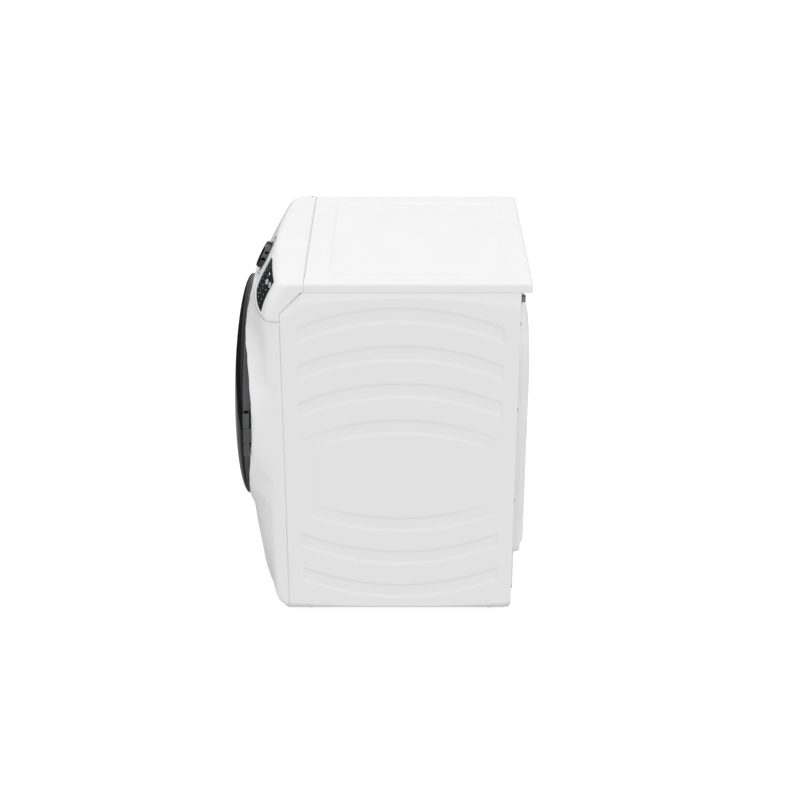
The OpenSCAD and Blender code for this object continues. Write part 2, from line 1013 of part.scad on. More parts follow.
// Plan of the blower scroll and its side outlet chamber, grown by g
module scroll_outline(g) {
    translate([motor_x, motor_z])
        circle(r = scroll_r + g);
    translate([duct_x, duct_z])
        circle(r = duct_r + 3 + g);
    polygon([
        [motor_x, motor_z + scroll_r + g],
        [duct_x - 20, duct_z + duct_r + g],
        [duct_x, duct_z - duct_r - 3 - g],
        [motor_x, duct_z - duct_r - 3 - g]
    ]);
}

module blower_housing() {
    t = 2.5;
    color("whitesmoke")
        difference() {
            union() {
                translate([0, scroll_y1, 0])
                    rotate([90, 0, 0])
                        linear_extrude(scroll_y1 - scroll_y0)
                            scroll_outline(0);
                rod_y(inlet_r + 2, front_bulkhead_y - 6, scroll_y0 + 1, motor_x, motor_z);
            }
            translate([0, scroll_y1 - t, 0])
                rotate([90, 0, 0])
                    linear_extrude(scroll_y1 - scroll_y0 - 2 * t)
                        scroll_outline(-t);
            rod_y(inlet_r, front_bulkhead_y - 8, scroll_y0 + t + 1, motor_x, motor_z);
            rod_y(duct_r, scroll_y1 - t - 1, scroll_y1 + 1, duct_x, duct_z);
            rod_y(shaft_r + 3, scroll_y1 - t - 1, scroll_y1 + 1, motor_x, motor_z);
        }
}

module lint_duct() {
    t = 2;
    x1 = motor_x + inlet_r + 8;
    y0 = filter_y - filter_t / 2 - 4;
    y1 = front_bulkhead_y - 2;
    low = motor_z - inlet_r - 8;
    mid = filter_z - filter_h - 12;
    top = door_cz - 176;
    lane = filter_y + filter_t / 2 + 4;
    color("whitesmoke")
        difference() {
            union() {
                span([-filter_w / 2 - 6, y0, low], [x1, y1, mid + t]);
                span([-filter_w / 2 - 6, y0, mid], [filter_w / 2 + 6, lane, top]);
            }
            span([-filter_w / 2 - 6 + t, y0 + t, low + t], [x1 - t, y1 - t, mid]);
            span([-filter_w / 2 - 6 + t, y0 + t, mid - 1], [filter_w / 2 + 6 - t, lane - t, top + 1]);
            rod_y(inlet_r + 2.4, y1 - t - 1, y1 + 1, motor_x, motor_z);
            rod_y(tunnel_r + 2, y0 - 1, y1 + 1, 0, door_cz);
        }
}

module lint_filter() {
    t = 3;
    z0 = filter_z - filter_h;
    y0 = filter_y - filter_t / 2;
    y1 = filter_y + filter_t / 2;
    pane_w = (filter_w - 4 * t) / 3;
    color("lightgray")
        difference() {
            span([-filter_w / 2, y0, z0], [filter_w / 2, y1, filter_z + 34]);
            rod_y(tunnel_r, y0 - 1, y1 + 1, 0, door_cz);
            span([-filter_w / 2 + t, y0 + t, z0 + t], [filter_w / 2 - t, y1 - t, filter_z + 50]);
            for (k = [-1, 0, 1], y = [y0 - 1, y1 - t + 0.8])
                span([k * (pane_w + t) - pane_w / 2, y, z0 + 3 * t],
                     [k * (pane_w + t) + pane_w / 2, y + t + 0.2, filter_z - 22]);
        }
}

// Belt round the drum, the motor pulley and the idler pulley
module drive_belt() {
    color("black")
        translate([0, belt_y + belt_w, 0])
            rotate([90, 0, 0])
                linear_extrude(belt_w)
                    difference() {
                        belt_outline(gap + belt_t);
                        belt_outline(gap);
                    }
}

module belt_outline(g) {
    hull() {
        translate([0, door_cz])
            circle(r = drum_r + g, $fn = 180);
        translate([motor_x, motor_z])
            circle(r = motor_pulley_r + g, $fn = 32);
        translate([idler_x, idler_z])
            circle(r = idler_pulley_r + g, $fn = 32);
    }
}

module idler_arm() {
    y0 = belt_y - 12;
    y1 = belt_y - 6;
    color("silver")
        difference() {
            union() {
                translate([0, y1, 0])
                    rotate([90, 0, 0])
                        linear_extrude(y1 - y0)
                            union() {
                                translate([idler_x, idler_z])
                                    circle(r = 11);
                                translate([idler_pivot_x, idler_pivot_z])
                                    circle(r = 11);
                                polygon(bar_points(11));
                            }
                rod_y(idler_bore_r, y0, belt_y + belt_w + 4, idler_x, idler_z);
            }
            rod_y(5 + run, y0 - 1, y1 + 1, idler_pivot_x, idler_pivot_z);
        }
}

// Corners of the straight bar between the idler's pivot and its pulley
function bar_points(h) =
    let (dx = idler_x - idler_pivot_x, dz = idler_z - idler_pivot_z, l = norm([dx, dz]))
    let (nx = -dz / l * h, nz = dx / l * h)
    [
        [idler_x + nx, idler_z + nz],
        [idler_pivot_x + nx, idler_pivot_z + nz],
        [idler_pivot_x - nx, idler_pivot_z - nz],
        [idler_x - nx, idler_z - nz]
    ];

module idler_pulley() {
    color("ivory")
        difference() {
            union() {
                rod_y(idler_pulley_r, belt_y - 2, belt_y + belt_w + 2, idler_x, idler_z);
                rod_y(idler_pulley_r + 3, belt_y - 4, belt_y - 2, idler_x, idler_z);
                rod_y(8, belt_y - 5.5, belt_y - 3, idler_x, idler_z);
            }
            rod_y(idler_bore_r + run, belt_y - 7, belt_y + belt_w + 4, idler_x, idler_z);
        }
}

// Torsion spring wound round the idler's pivot post, with a flat tail at each end
module idler_spring() {
    wire = 1.2;
    coils = 6;
    pitch = 2 * wire - 0.4;
    coil_r = 8.5;
    tail = 28;
    y0 = belt_y - 14;
    color("gray") {
        translate([idler_pivot_x, y0, idler_pivot_z])
            rotate([90, 0, 0])
                rotate_extrude($fn = 48)
                    polygon([
                        [coil_r - wire, 0],
                        for (k = [0 : coils - 1]) each [
                            [coil_r + wire, pitch * (k + 0.2)],
                            [coil_r + wire, pitch * (k + 0.7)],
                            [coil_r + wire / 2, pitch * (k + 0.95)]
                        ],
                        [coil_r - wire, pitch * coils]
                    ]);
        for (k = [0, coils - 1])
            translate([idler_pivot_x + coil_r - 1,
                       y0 - pitch * (k + 0.8),
                       idler_pivot_z - (k == 0 ? 0 : tail)])
                cube([2, 0.6 * pitch, tail]);
    }
}

// ---------- Heat ----------

heater_x0 = 88;
heater_x1 = 214;
heater_y0 = rear_bulkhead_y + bulkhead_t + 0.5;
heater_y1 = side_rear_y + 18;
heater_z0 = door_cz - 235;
heater_z1 = door_cz - 72;

module heater_box() {
    t = 1;
    color("lightsteelblue")
        difference() {
            span([heater_x0, heater_y0, heater_z0], [heater_x1, heater_y1, heater_z1]);
            span([heater_x0 + t, heater_y0 - 1, heater_z0 + t],
                 [heater_x1 - t, heater_y1 - t, heater_z1 - t]);
            span([heater_x0 + 12, heater_y0 + 12, heater_z0 - 1],
                 [heater_x1 - 12, heater_y1 - 8, heater_z0 + 2]);
        }
}

module heating_element() {
    turns = 6;
    pitch = (heater_x1 - heater_x0 - 30) / turns;
    y = (heater_y0 + heater_y1) / 2;
    z0 = heater_z0 + 16;
    z1 = heater_z1 - 14;
    r = pitch / 2;
    color("darkred")
        for (k = [0 : turns - 1]) {
            translate([heater_x0 + 15 + pitch * (k + 0.5), y, z0])
                cylinder(r = 2, h = z1 - z0, $fn = 24);
            if (k < turns - 1)
                translate([heater_x0 + 15 + pitch * (k + 1), y, k % 2 == 0 ? z1 : z0])
                    rotate([90, k % 2 == 0 ? 0 : 180, 0])
                        rotate_extrude(angle = 180)
                            translate([r, 0])
                                circle(r = 2, $fn = 24);
        }
}

module thermostats() {
    y = heater_y1;
    color("black")
        for (z = [heater_z0 + 40, heater_z1 - 40]) {
            rod_y(9, y, y + 5, 150, z);
            rod_y(5, y + 5, y + 10, 150, z);
        }
}

module moisture_sensor_bars() {
    color("silver")
        for (k = [-1, 1])
            translate([0, front_bulkhead_y + shelf_len + 0.2, door_cz - tunnel_r - 22])
                span([-50, 0, 7 * k - 3], [50, 3, 7 * k + 3]);
}

module drum_lamp() {
    y = front_bulkhead_y + shelf_len;
    color([0.9, 0.9, 0.8])
        union() {
            rod_y(17, y + 0.2, y + 7, 120, door_cz + 230);
            rod_y(14, y - 24, y - 2, 120, door_cz + 230);
        }
}

// ---------- Door ----------

module door_ring() {
    lip_r = 288;
    back = -22;
    t = 4;
    color([0.3, 0.3, 0.31])
        door_place()
            difference() {
                rotate_extrude($fn = 180)
                    polygon(concat(
                        [[tunnel_r - 10, back], [door_r - 4, back], [door_r, -3]],
                        dome_arc(door_r, lip_r, 0),
                        [[lip_r, dome_z(lip_r) - t]],
                        [for (p = dome_arc(lip_r + t, door_r - t, t)) p],
                        [[door_r - 2 * t, back + t], [tunnel_r - 10, back + t]]
                    ));
                translate([door_r - 16, -66, back - 1])
                    cube([30, 132, 20]);
                translate([-door_r - 4, -62, back - 1])
                    cube([24, 124, 14]);
            }
}

module door_glass() {
    rim = 287.6;
    t = 4;
    color([0.1, 0.1, 0.11, 0.9])
        door_place()
            rotate_extrude($fn = 180)
                polygon(concat(
                    dome_arc(0, rim, 0, 20),
                    [[rim, dome_z(rim) - t]],
                    dome_arc(rim - t, 0, t, 20)
                ));
}

module door_liner() {
    color("lightgray")
        door_place()
            difference() {
                rotate_extrude($fn = 180)
                    polygon([
                        [202.4, -31],
                        [206, -26],
                        [206, -22.3],
                        [300, -22.3],
                        [300, -25],
                        [215, -25],
                        [209, -32],
                        [203.5, -33]
                    ]);
                translate([-267, -18, -30])
                    cube([24, 36, 12]);
                translate([hinge_x - 26, -68, -30])
                    cube([40, 136, 12]);
                translate([-door_r - 4, -64, -30])
                    cube([24, 128, 12]);
            }
}

module door_bowl() {
    color([0.75, 0.8, 0.85, 0.4])
        door_place()
            rotate_extrude($fn = 180)
                polygon([
                    [0, -60],
                    [120, -58],
                    [160, -52],
                    [180, -42],
                    [201, -26],
                    [205, -24],
                    [205, -20],
                    [198, -20],
                    [177, -37.5],
                    [158, -47.5],
                    [119, -53.5],
                    [0, -55.5]
                ]);
}

module door_gasket() {
    color([0.25, 0.25, 0.26])
        door_place()
            rotate_extrude($fn = 180)
                polygon([
                    [226, -25.2],
                    [240, -25.2],
                    [240, -27],
                    [236, -29.6],
                    [230, -29.6],
                    [226, -27]
                ]);
}

knuckle_r = 7.5;
pin_r = 4;
knuckle_gap = 0.5;
knuckle_half = 21;
knuckle_end = 58;
arm_t = 4;
arm_z = hinge_z - 8;

module hinge_arm() {
    inner = knuckle_half + knuckle_gap;
    color("silver")
        door_place()
            difference() {
                union() {
                    for (y = [inner, -knuckle_end]) {
                        translate([hinge_x, y, hinge_z])
                            rotate([-90, 0, 0])
                                cylinder(r = knuckle_r, h = knuckle_end - inner);
                        translate([hinge_x - 40, y, arm_z])
                            cube([40, knuckle_end - inner, arm_t]);
                    }
                    translate([hinge_x - 62, -knuckle_end, arm_z])
                        cube([26, 2 * knuckle_end, arm_t]);
                }
                translate([hinge_x, -knuckle_end - 1, hinge_z])
                    rotate([-90, 0, 0])
                        cylinder(r = pin_r + run, h = 2 * knuckle_end + 2);
            }
}

// Fixed knuckle with the pin, on a flanged foot
module hinge_bracket() {
    foot_t = 3;
    color("silver")
        door_place()
            union() {
                translate([hinge_x, -knuckle_half, hinge_z])
                    rotate([-90, 0, 0])
                        cylinder(r = knuckle_r, h = 2 * knuckle_half);
                translate([hinge_x, -knuckle_end - 3, hinge_z])
                    rotate([-90, 0, 0])
                        cylinder(r = pin_r, h = 2 * knuckle_end + 6);
                translate([hinge_x - 3, -knuckle_half, pocket_z])
                    cube([6, 2 * knuckle_half, hinge_z - pocket_z]);
                translate([hinge_x - 6, -knuckle_half - 8, pocket_z])
                    cube([12, 2 * knuckle_half + 16, foot_t]);
            }
}

module door_strike() {
    color("silver")
        door_place()
            union() {
                translate([-259, -11, -48])
                    cube([6, 22, 26]);
                translate([-262, -11, -48])
                    cube([6, 22, 6]);
            }
}

module door_catch() {
    color("ivory")
        door_place()
            difference() {
                translate([-272, -24, -62])
                    cube([34, 48, 28]);
                translate([-264, -14, -58])
                    cube([18, 28, 30]);
            }
}

module door_switch() {
    color("dimgray")
        door_place()
            translate([-272, 40, -50])
                cube([30, 18, 16.5]);
}

// ---------- Controls ----------

module control_knob() {
    color([0.36, 0.36, 0.37])
        face_place(0, knob_drop)
            difference() {
                union() {
                    translate([0, 0, 1])
                        cylinder(r1 = knob_d / 2, r2 = knob_d / 2 - 2, h = knob_h - 3, $fn = 96);
                    translate([0, 0, knob_h - 2])
                        cylinder(r1 = knob_d / 2 - 2, r2 = knob_d / 2 - 5, h = 2, $fn = 96);
                }
                translate([0, 0, 0])
                    ring(9, knob_d / 2 - 6, 0, knob_h - 6);
                translate([0, 0, -1])
                    cylinder(r = 3, h = knob_h - 6);
            }
}

module encoder_shaft() {
    color("silver")
        face_place(0, knob_drop)
            translate([0, 0, -18])
                cylinder(r = 3, h = 18 + knob_h - 8);
}

// Push button, its cap just proud of the window and its stem reaching towards the board
module push_button(p) {
    face_place(p[0], p[1]) {
        translate([0, 0, -8])
            linear_extrude(8 + button_travel)
                pill(button_len, button_wid);
        translate([0, 0, -9.5])
            linear_extrude(1.8)
                pill(button_len + 5, button_wid + 3);
    }
}

module start_button() {
    color("lightgray")
        push_button(start_at);
}

module power_button() {
    color("lightgray")
        push_button(power_at);
}

// ---------- Fasteners and feet ----------

screw_x = half_w - 11;
screw_heights = [for (h = [60, 330, 600, 840]) base_z + h];
screw_r = 2;

module cabinet_screws() {
    color("silver")
        for (s = [-1, 1], z = screw_heights)
            rear_screw(s * screw_x, z);
}

// Clearance holes for the rear screws, through both sheets
module screw_holes() {
    for (s = [-1, 1], z = screw_heights)
        rod_y(screw_r + run, side_rear_y - 5, side_rear_y + 1, s * screw_x, z);
}

// Pan-head screw in the rear panel's edge
module rear_screw(x, z) {
    rod_y(4.2, side_rear_y, side_rear_y + 2.4, x, z);
    rod_y(screw_r, side_rear_y - 8, side_rear_y + 1, x, z);
}

// Levelling foot: a round pad, a hexagon to turn it by, and its stud
module foot(x, y) {
    pad_h = 12;
    hex_h = 7;
    color("dimgray")
        translate([x, y, 0]) {
            cylinder(r = foot_pad_r - 2, h = pad_h);
            translate([0, 0, 3])
                cylinder(r = foot_pad_r, h = pad_h - 3);
            translate([0, 0, pad_h])
                cylinder(r = 11, h = hex_h, $fn = 6);
            translate([0, 0, pad_h + hex_h - 1])
                cylinder(r = stud_r, h = foot_h);
        }
}

module front_left_foot() {
    foot(-foot_x, foot_front_y);
}

module front_right_foot() {
    foot(foot_x, foot_front_y);
}

module rear_left_foot() {
    foot(-foot_x, foot_rear_y);
}

module rear_right_foot() {
    foot(foot_x, foot_rear_y);
}

base_pan();
left_side_panel();
right_side_panel();
top_panel();
front_panel();
control_console();
display_window();
control_board();
knob_encoder();
front_bulkhead();
rear_bulkhead();
rear_panel();
rear_cover();
terminal_cover();
terminal_block();
cord_gland();
exhaust_duct();
front_drum_seal();
rear_drum_seal();
front_glides();
roller_axles();
motor_housing();
motor_cradle();
blower_housing();
lint_duct();
heater_box();
heating_element();
thermostats();
moisture_sensor_bars();
drum_lamp();
hinge_bracket();
door_catch();
door_switch();
drive_belt();
idler_spring();
cabinet_screws();
door_ring();
door_glass();
door_liner();
door_bowl();
door_gasket();
hinge_arm();
door_strike();
control_knob();
encoder_shaft();
start_button();
power_button();
drum_shell();
drum_baffles();
left_drum_roller();
right_drum_roller();
motor_shaft();
blower_wheel();
idler_arm();
idler_pulley();
lint_filter();
front_left_foot();
front_right_foot();
rear_left_foot();
rear_right_foot();
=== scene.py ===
import math

import bmesh
import bpy
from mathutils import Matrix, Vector


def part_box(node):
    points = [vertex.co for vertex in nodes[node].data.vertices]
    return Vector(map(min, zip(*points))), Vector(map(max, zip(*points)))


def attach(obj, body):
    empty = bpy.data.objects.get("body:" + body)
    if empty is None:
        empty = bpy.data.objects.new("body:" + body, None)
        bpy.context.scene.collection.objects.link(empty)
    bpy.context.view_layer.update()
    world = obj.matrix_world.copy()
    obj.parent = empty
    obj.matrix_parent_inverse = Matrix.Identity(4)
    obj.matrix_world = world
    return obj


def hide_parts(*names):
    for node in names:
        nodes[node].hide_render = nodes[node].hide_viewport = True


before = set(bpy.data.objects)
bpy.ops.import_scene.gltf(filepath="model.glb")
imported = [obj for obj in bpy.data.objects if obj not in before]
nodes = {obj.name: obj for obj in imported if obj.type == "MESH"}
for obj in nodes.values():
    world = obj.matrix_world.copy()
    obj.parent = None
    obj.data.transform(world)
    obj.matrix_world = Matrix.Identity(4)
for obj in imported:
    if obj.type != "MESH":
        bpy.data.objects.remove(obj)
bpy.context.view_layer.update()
scene = bpy.context.scene
scene.view_settings.view_transform = "Standard"

# Shapes are worked out in millimetres and scaled once, when a mesh is made.
MM = 0.001


def box_mm(node):
    lo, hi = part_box(node)
    return lo / MM, hi / MM


# ---------- Driving dimensions, from the frame ----------

side_lo, side_hi = box_mm("right_side_panel")
top_lo, top_hi = box_mm("top_panel")
glass_lo, glass_hi = box_mm("door_glass")
ring_lo, ring_hi = box_mm("door_ring")
cover_lo, cover_hi = box_mm("rear_cover")

HALF_W = side_hi.x
BASE_Z = side_lo.z
UNDER_Z = side_hi.z
TOP_Z = top_hi.z
SIDE_FRONT, SIDE_REAR = side_lo.y, side_hi.y
SIDE_MID = (SIDE_FRONT + SIDE_REAR) / 2
PLATE_FRONT, PLATE_REAR = top_lo.y, top_hi.y
SEAM_Z = box_mm("control_console")[0].z
NOSE_Y = box_mm("front_panel")[0].y
# Gap left on each side of a seam
SEAM = 0.18

# Bowed lower front and leaning console face
BOW_R = 726.0
BOW_CY = NOSE_Y + BOW_R
CORNER_R = 35.0
CONSOLE_R = 2250.0
LEAN = math.radians(28)
CREASE_Y = SIDE_FRONT - 32
CREASE_Z = TOP_Z - 10

# Door
DOOR_R = (ring_hi.x - ring_lo.x) / 2
DOME_H = 40.0
DOOR_LEAN = math.radians(1)
DOOR_Y = glass_lo.y + math.hypot(DOME_H * math.cos(DOOR_LEAN), DOOR_R * math.sin(DOOR_LEAN))
DOOR_Z = (ring_lo.z + ring_hi.z) / 2
GLASS_R = (glass_hi.x - glass_lo.x) / 2
RING_BACK = -22.0

# Rim of the front panel round the door, the seat behind the door and the loading opening
LIP_R = DOOR_R + 18
LIP_IN = DOOR_R + 4
SEAT_Z = -30.0
TUNNEL_R = 220.0

# Light from straight up, and from below as a share of it
SKY_HIGH = 1.33
SKY_LOW = 0.46

# ---------- Small maths ----------


def mix(a, b, t):
    return a + (b - a) * t


def step(a, b, x):
    """Smooth step of x from 0 at a to 1 at b."""
    t = min(max((x - a) / (b - a), 0.0), 1.0)
    return t * t * (3 - 2 * t)


def smooth_max(a, b, k):
    h = max(k - abs(a - b), 0.0) / k
    return max(a, b) + h * h * k / 4


def spread(a, b, n):
    """n + 1 evenly spaced values from a to b."""
    return [a + (b - a) * i / n for i in range(n + 1)]


# ---------- Mesh making ----------


def loft(loops, closed=True, cap_first=False, cap_last=False):
    """Faces between successive loops that have the same number of points."""
    n = len(loops[0])
    verts = [p for loop in loops for p in loop]
    faces = []
    for i in range(len(loops) - 1):
        for j in range(n if closed else n - 1):
            k = (j + 1) % n
            faces.append((i * n + j, i * n + k, (i + 1) * n + k, (i + 1) * n + j))
    if cap_first:
        faces.append(tuple(range(n)))
    if cap_last:
        faces.append(tuple((len(loops) - 1) * n + j for j in range(n)))
    return verts, faces


def revolve(profile, place, n=96):
    """A closed or open (radius, height) profile turned about a local Z axis."""
    turn = [2 * math.pi * k / n for k in range(n)]
    return loft([[place(r * math.cos(a), r * math.sin(a), z) for a in turn] for r, z in profile])


def new_mesh(name, shape):
    verts, faces = shape
    mesh = bpy.data.meshes.new(name)
    mesh.from_pydata([Vector(v) * MM for v in verts], [], faces)
    return mesh


def make(name, shape, body, slot, stands_for=(), sharp=35.0, facing=None, thick=0.0, material=None):
    """A piece of the object: its mesh, material, body and the CAD nodes it stands for."""
    mesh = new_mesh(name, shape)
    bm = bmesh.new()
    bm.from_mesh(mesh)
    bmesh.ops.remove_doubles(bm, verts=bm.verts, dist=2e-6)
    bmesh.ops.recalc_face_normals(bm, faces=bm.faces)
    if facing:
        total = sum((f.normal * f.calc_area() for f in bm.faces), Vector())
        if total.dot(Vector(facing)) < 0:
            bmesh.ops.reverse_faces(bm, faces=bm.faces)
    bm.to_mesh(mesh)
    bm.free()
    obj = bpy.data.objects.new(name, mesh)
    scene.collection.objects.link(obj)
    if thick:
        wall = obj.modifiers.new("wall", "SOLIDIFY")
        wall.thickness = thick * MM
        wall.offset = -1.0
    smooth(mesh, sharp)
    mesh.materials.append(material or finish(slot))
    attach(obj, body)
    if stands_for:
        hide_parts(*stands_for)
    return obj


def smooth(mesh, sharp):
    mesh.polygons.foreach_set("use_smooth", [True] * len(mesh.polygons))
    mesh.set_sharp_from_angle(angle=math.radians(sharp))


def join(*shapes):
    """Several (verts, faces) shapes as one."""
    verts, faces = [], []
    for v, f in shapes:
        faces += [tuple(i + len(verts) for i in face) for face in f]
        verts += v
    return verts, faces


def span_box(lo, hi, place):
    """A box between two local corners."""
    v = [place(x, y, z) for x in (lo[0], hi[0]) for y in (lo[1], hi[1]) for z in (lo[2], hi[2])]
    f = [(0, 1, 3, 2), (4, 6, 7, 5), (0, 4, 5, 1), (2, 3, 7, 6), (0, 2, 6, 4), (1, 5, 7, 3)]
    return v, f


def make_cutter(shape):
    mesh = new_mesh("cutter", shape)
    bm = bmesh.new()
    bm.from_mesh(mesh)
    bmesh.ops.recalc_face_normals(bm, faces=bm.faces)
    bm.to_mesh(mesh)
    bm.free()
    obj = bpy.data.objects.new("cutter", mesh)
    scene.collection.objects.link(obj)
    return obj


def cut(obj, *cutters):
    """Takes the cutters out of obj for good and removes them."""
    for c in cutters:
        m = obj.modifiers.new("cut", "BOOLEAN")
        m.operation = "DIFFERENCE"
        m.solver = "EXACT"
        m.object = c
    bpy.context.view_layer.update()
    done = bpy.data.meshes.new_from_object(obj.evaluated_get(bpy.context.evaluated_depsgraph_get()))
    obj.modifiers.clear()
    obj.data = done
    for c in cutters:
        bpy.data.objects.remove(c)


# ---------- Materials ----------


def nodes_of(name):
    m = bpy.data.materials.new(name)
    m.use_nodes = True
    tree = m.node_tree
    return m, tree, tree.nodes["Principled BSDF"]


def coordinates(tree, stretch=(1, 1, 1)):
    where = tree.nodes.new("ShaderNodeTexCoord")
    mapping = tree.nodes.new("ShaderNodeMapping")
    mapping.inputs["Scale"].default_value = stretch
    tree.links.new(where.outputs["Object"], mapping.inputs["Vector"])
    return mapping.outputs["Vector"]


def noise(tree, vector, scale, detail=3.0):
    n = tree.nodes.new("ShaderNodeTexNoise")
    n.inputs["Scale"].default_value = scale
    n.inputs["Detail"].default_value = detail
    tree.links.new(vector, n.inputs["Vector"])
    return n.outputs["Fac"]


def ranged(tree, value, low, high):
    r = tree.nodes.new("ShaderNodeMapRange")
    r.inputs["From Min"].default_value = 0.3
    r.inputs["From Max"].default_value = 0.7
    r.inputs["To Min"].default_value = low
    r.inputs["To Max"].default_value = high
    tree.links.new(value, r.inputs["Value"])
    return r.outputs["Result"]


def tinted(tree, value, colour, spread_by):
    """Colour that drifts a little either side of colour with value."""
    m = tree.nodes.new("ShaderNodeMix")
    m.data_type = "RGBA"
    for socket, k in ((m.inputs[6], 1 - spread_by), (m.inputs[7], 1 + spread_by)):
        socket.default_value = [min(c * k, 1.0) for c in colour[:3]] + [1.0]
    tree.links.new(ranged(tree, value, 0, 1), m.inputs[0])
    return m.outputs[2]


def bump(tree, shader, height, strength, distance):
    b = tree.nodes.new("ShaderNodeBump")
    b.inputs["Strength"].default_value = strength
    b.inputs["Distance"].default_value = distance
    tree.links.new(height, b.inputs["Height"])
    tree.links.new(b.outputs["Normal"], shader.inputs["Normal"])


def surface(name, colour, rough, metal=0.0, coat=0.0, drift=0.02, rough_drift=0.05, grain=900.0,
            relief=0.05, depth=0.0002, stretch=(1, 1, 1), cells=0.0, glass=0.0, sheen=0.0, ior=1.5,
            coarse=14.0):
    """One procedural finish: slow colour drift, uneven gloss and a fine relief."""
    m, tree, shader = nodes_of(name)
    place = coordinates(tree, stretch)
    slow = noise(tree, place, coarse)
    fine = noise(tree, place, grain, 2.0)
    if cells:
        v = tree.nodes.new("ShaderNodeTexVoronoi")
        v.inputs["Scale"].default_value = cells
        tree.links.new(place, v.inputs["Vector"])
        slow = v.outputs["Color"]
    tree.links.new(tinted(tree, slow, colour, drift), shader.inputs["Base Color"])
    tree.links.new(ranged(tree, slow, rough - rough_drift, rough + rough_drift), shader.inputs["Roughness"])
    bump(tree, shader, fine, relief, depth)
    shader.inputs["Metallic"].default_value = metal
    shader.inputs["IOR"].default_value = ior
    shader.inputs["Coat Weight"].default_value = coat
    shader.inputs["Coat Roughness"].default_value = 0.08
    shader.inputs["Transmission Weight"].default_value = glass
    shader.inputs["Sheen Weight"].default_value = sheen
    return m


def glowing(name, colour, strength):
    """A glowing finish for lit legends, lamps and one painted highlight, with a faint unevenness in its lens.
    """
    m, tree, shader = nodes_of(name)
    place = coordinates(tree)
    glow = tinted(tree, noise(tree, place, 300.0), colour, 0.08)
    tree.links.new(glow, shader.inputs["Base Color"])
    tree.links.new(glow, shader.inputs["Emission Color"])
    tree.links.new(ranged(tree, noise(tree, place, 500.0), 0.3, 0.5), shader.inputs["Roughness"])
    shader.inputs["Emission Strength"].default_value = strength
    return m


FINISHES = {
    "white_enamel": dict(colour=(0.82, 0.82, 0.82), rough=0.36, drift=0.004, coat=0.10, grain=650,
                         relief=0.05),
    "white_moulding": dict(colour=(0.82, 0.82, 0.82), rough=0.34, drift=0.004, coat=0.10, grain=800,
                           relief=0.04),
    "rear_enamel": dict(colour=(0.80, 0.80, 0.80), rough=0.45, drift=0.03, grain=500, relief=0.08),
    "zinc_steel": dict(colour=(0.60, 0.61, 0.63), rough=0.34, metal=1.0, drift=0.10, rough_drift=0.12,
                       cells=110, relief=0.06),
    "drum_steel": dict(colour=(0.70, 0.71, 0.72), rough=0.28, metal=1.0, drift=0.05, rough_drift=0.08,
                       stretch=(1, 0.05, 1), grain=1400, relief=0.10),
    "display_black": dict(colour=(0.030, 0.031, 0.033), rough=0.10, drift=0.1, rough_drift=0.03,
                          relief=0.01),
    "circuit_green": dict(colour=(0.02, 0.16, 0.07), rough=0.45, cells=300, drift=0.3),
    "black_plastic": dict(colour=(0.07, 0.07, 0.075), rough=0.5, drift=0.08, grain=1500, relief=0.12),
    "felt_gray": dict(colour=(0.28, 0.28, 0.29), rough=0.9, drift=0.2, grain=1800, relief=0.6,
                      depth=0.0008, sheen=0.5),
    "nylon": dict(colour=(0.80, 0.78, 0.70), rough=0.45, drift=0.04, grain=900, relief=0.05),
    "motor_gray": dict(colour=(0.22, 0.23, 0.24), rough=0.5, drift=0.12, grain=700, relief=0.1),
    "duct_white": dict(colour=(0.70, 0.70, 0.69), rough=0.48, drift=0.04, grain=1000, relief=0.08),
    "element_wire": dict(colour=(0.25, 0.17, 0.13), rough=0.5, metal=1.0, drift=0.3, relief=0.2),
    "clear_lens": dict(colour=(0.95, 0.95, 0.92), rough=0.12, glass=0.9, drift=0.01, relief=0.02),
    "rubber_black": dict(colour=(0.035, 0.035, 0.036), rough=0.72, drift=0.15, grain=1600, relief=0.2),
    "door_dark_ring": dict(colour=(0.085, 0.086, 0.089), rough=0.30, drift=0.06, rough_drift=0.04,
                           grain=1200, relief=0.03),
    "door_dark_glass": dict(colour=(0.012, 0.0125, 0.014), rough=0.05, drift=0.1, rough_drift=0.02,
                            relief=0.004, ior=1.4),
    "door_clear_glass": dict(colour=(0.85, 0.88, 0.90), rough=0.05, glass=0.92, drift=0.01,
                             rough_drift=0.02, relief=0.004),
    "knob_graphite": dict(colour=(0.19, 0.19, 0.195), rough=0.09, metal=1.0, drift=0.03,
                          rough_drift=0.02, grain=2200, relief=0.01),
    "button_gray": dict(colour=(0.55, 0.56, 0.58), rough=0.35, drift=0.03, grain=1500, relief=0.04),
    "filter_gray": dict(colour=(0.45, 0.47, 0.49), rough=0.5, drift=0.05, grain=1400, relief=0.1),
}
_made = {}


def finish(slot):
    if slot not in _made:
        _made[slot] = surface(slot + "_finish", **FINISHES[slot])
    return _made[slot]


# ---------- Places ----------


def door_point(x, y, z):
    """Door axes to the frame: local Z out of the front, local Y up the door."""
    c, s = math.cos(DOOR_LEAN), math.sin(DOOR_LEAN)
    return (x, DOOR_Y + y * s - z * c, DOOR_Z + y * c + z * s)


def face_place(x, s):
    """Local axes on the console face, s down the slope from the crease: Z out of it, Y up the slope."""
    rho = CONSOLE_R + s * math.sin(LEAN)
    turn = math.asin(x / rho)
    origin = Vector((x, CREASE_Y + CONSOLE_R - math.sqrt(rho * rho - x * x),
                     CREASE_Z - s * math.cos(LEAN)))
    ax = Vector((math.cos(turn), math.sin(turn), 0))
    out = Vector((math.sin(turn) * math.cos(LEAN), -math.cos(turn) * math.cos(LEAN), math.sin(LEAN)))
    up = out.cross(ax)
    return lambda u, v, w: tuple(origin + ax * u + up * v + out * w)


# ---------- Outer skin of the front ----------


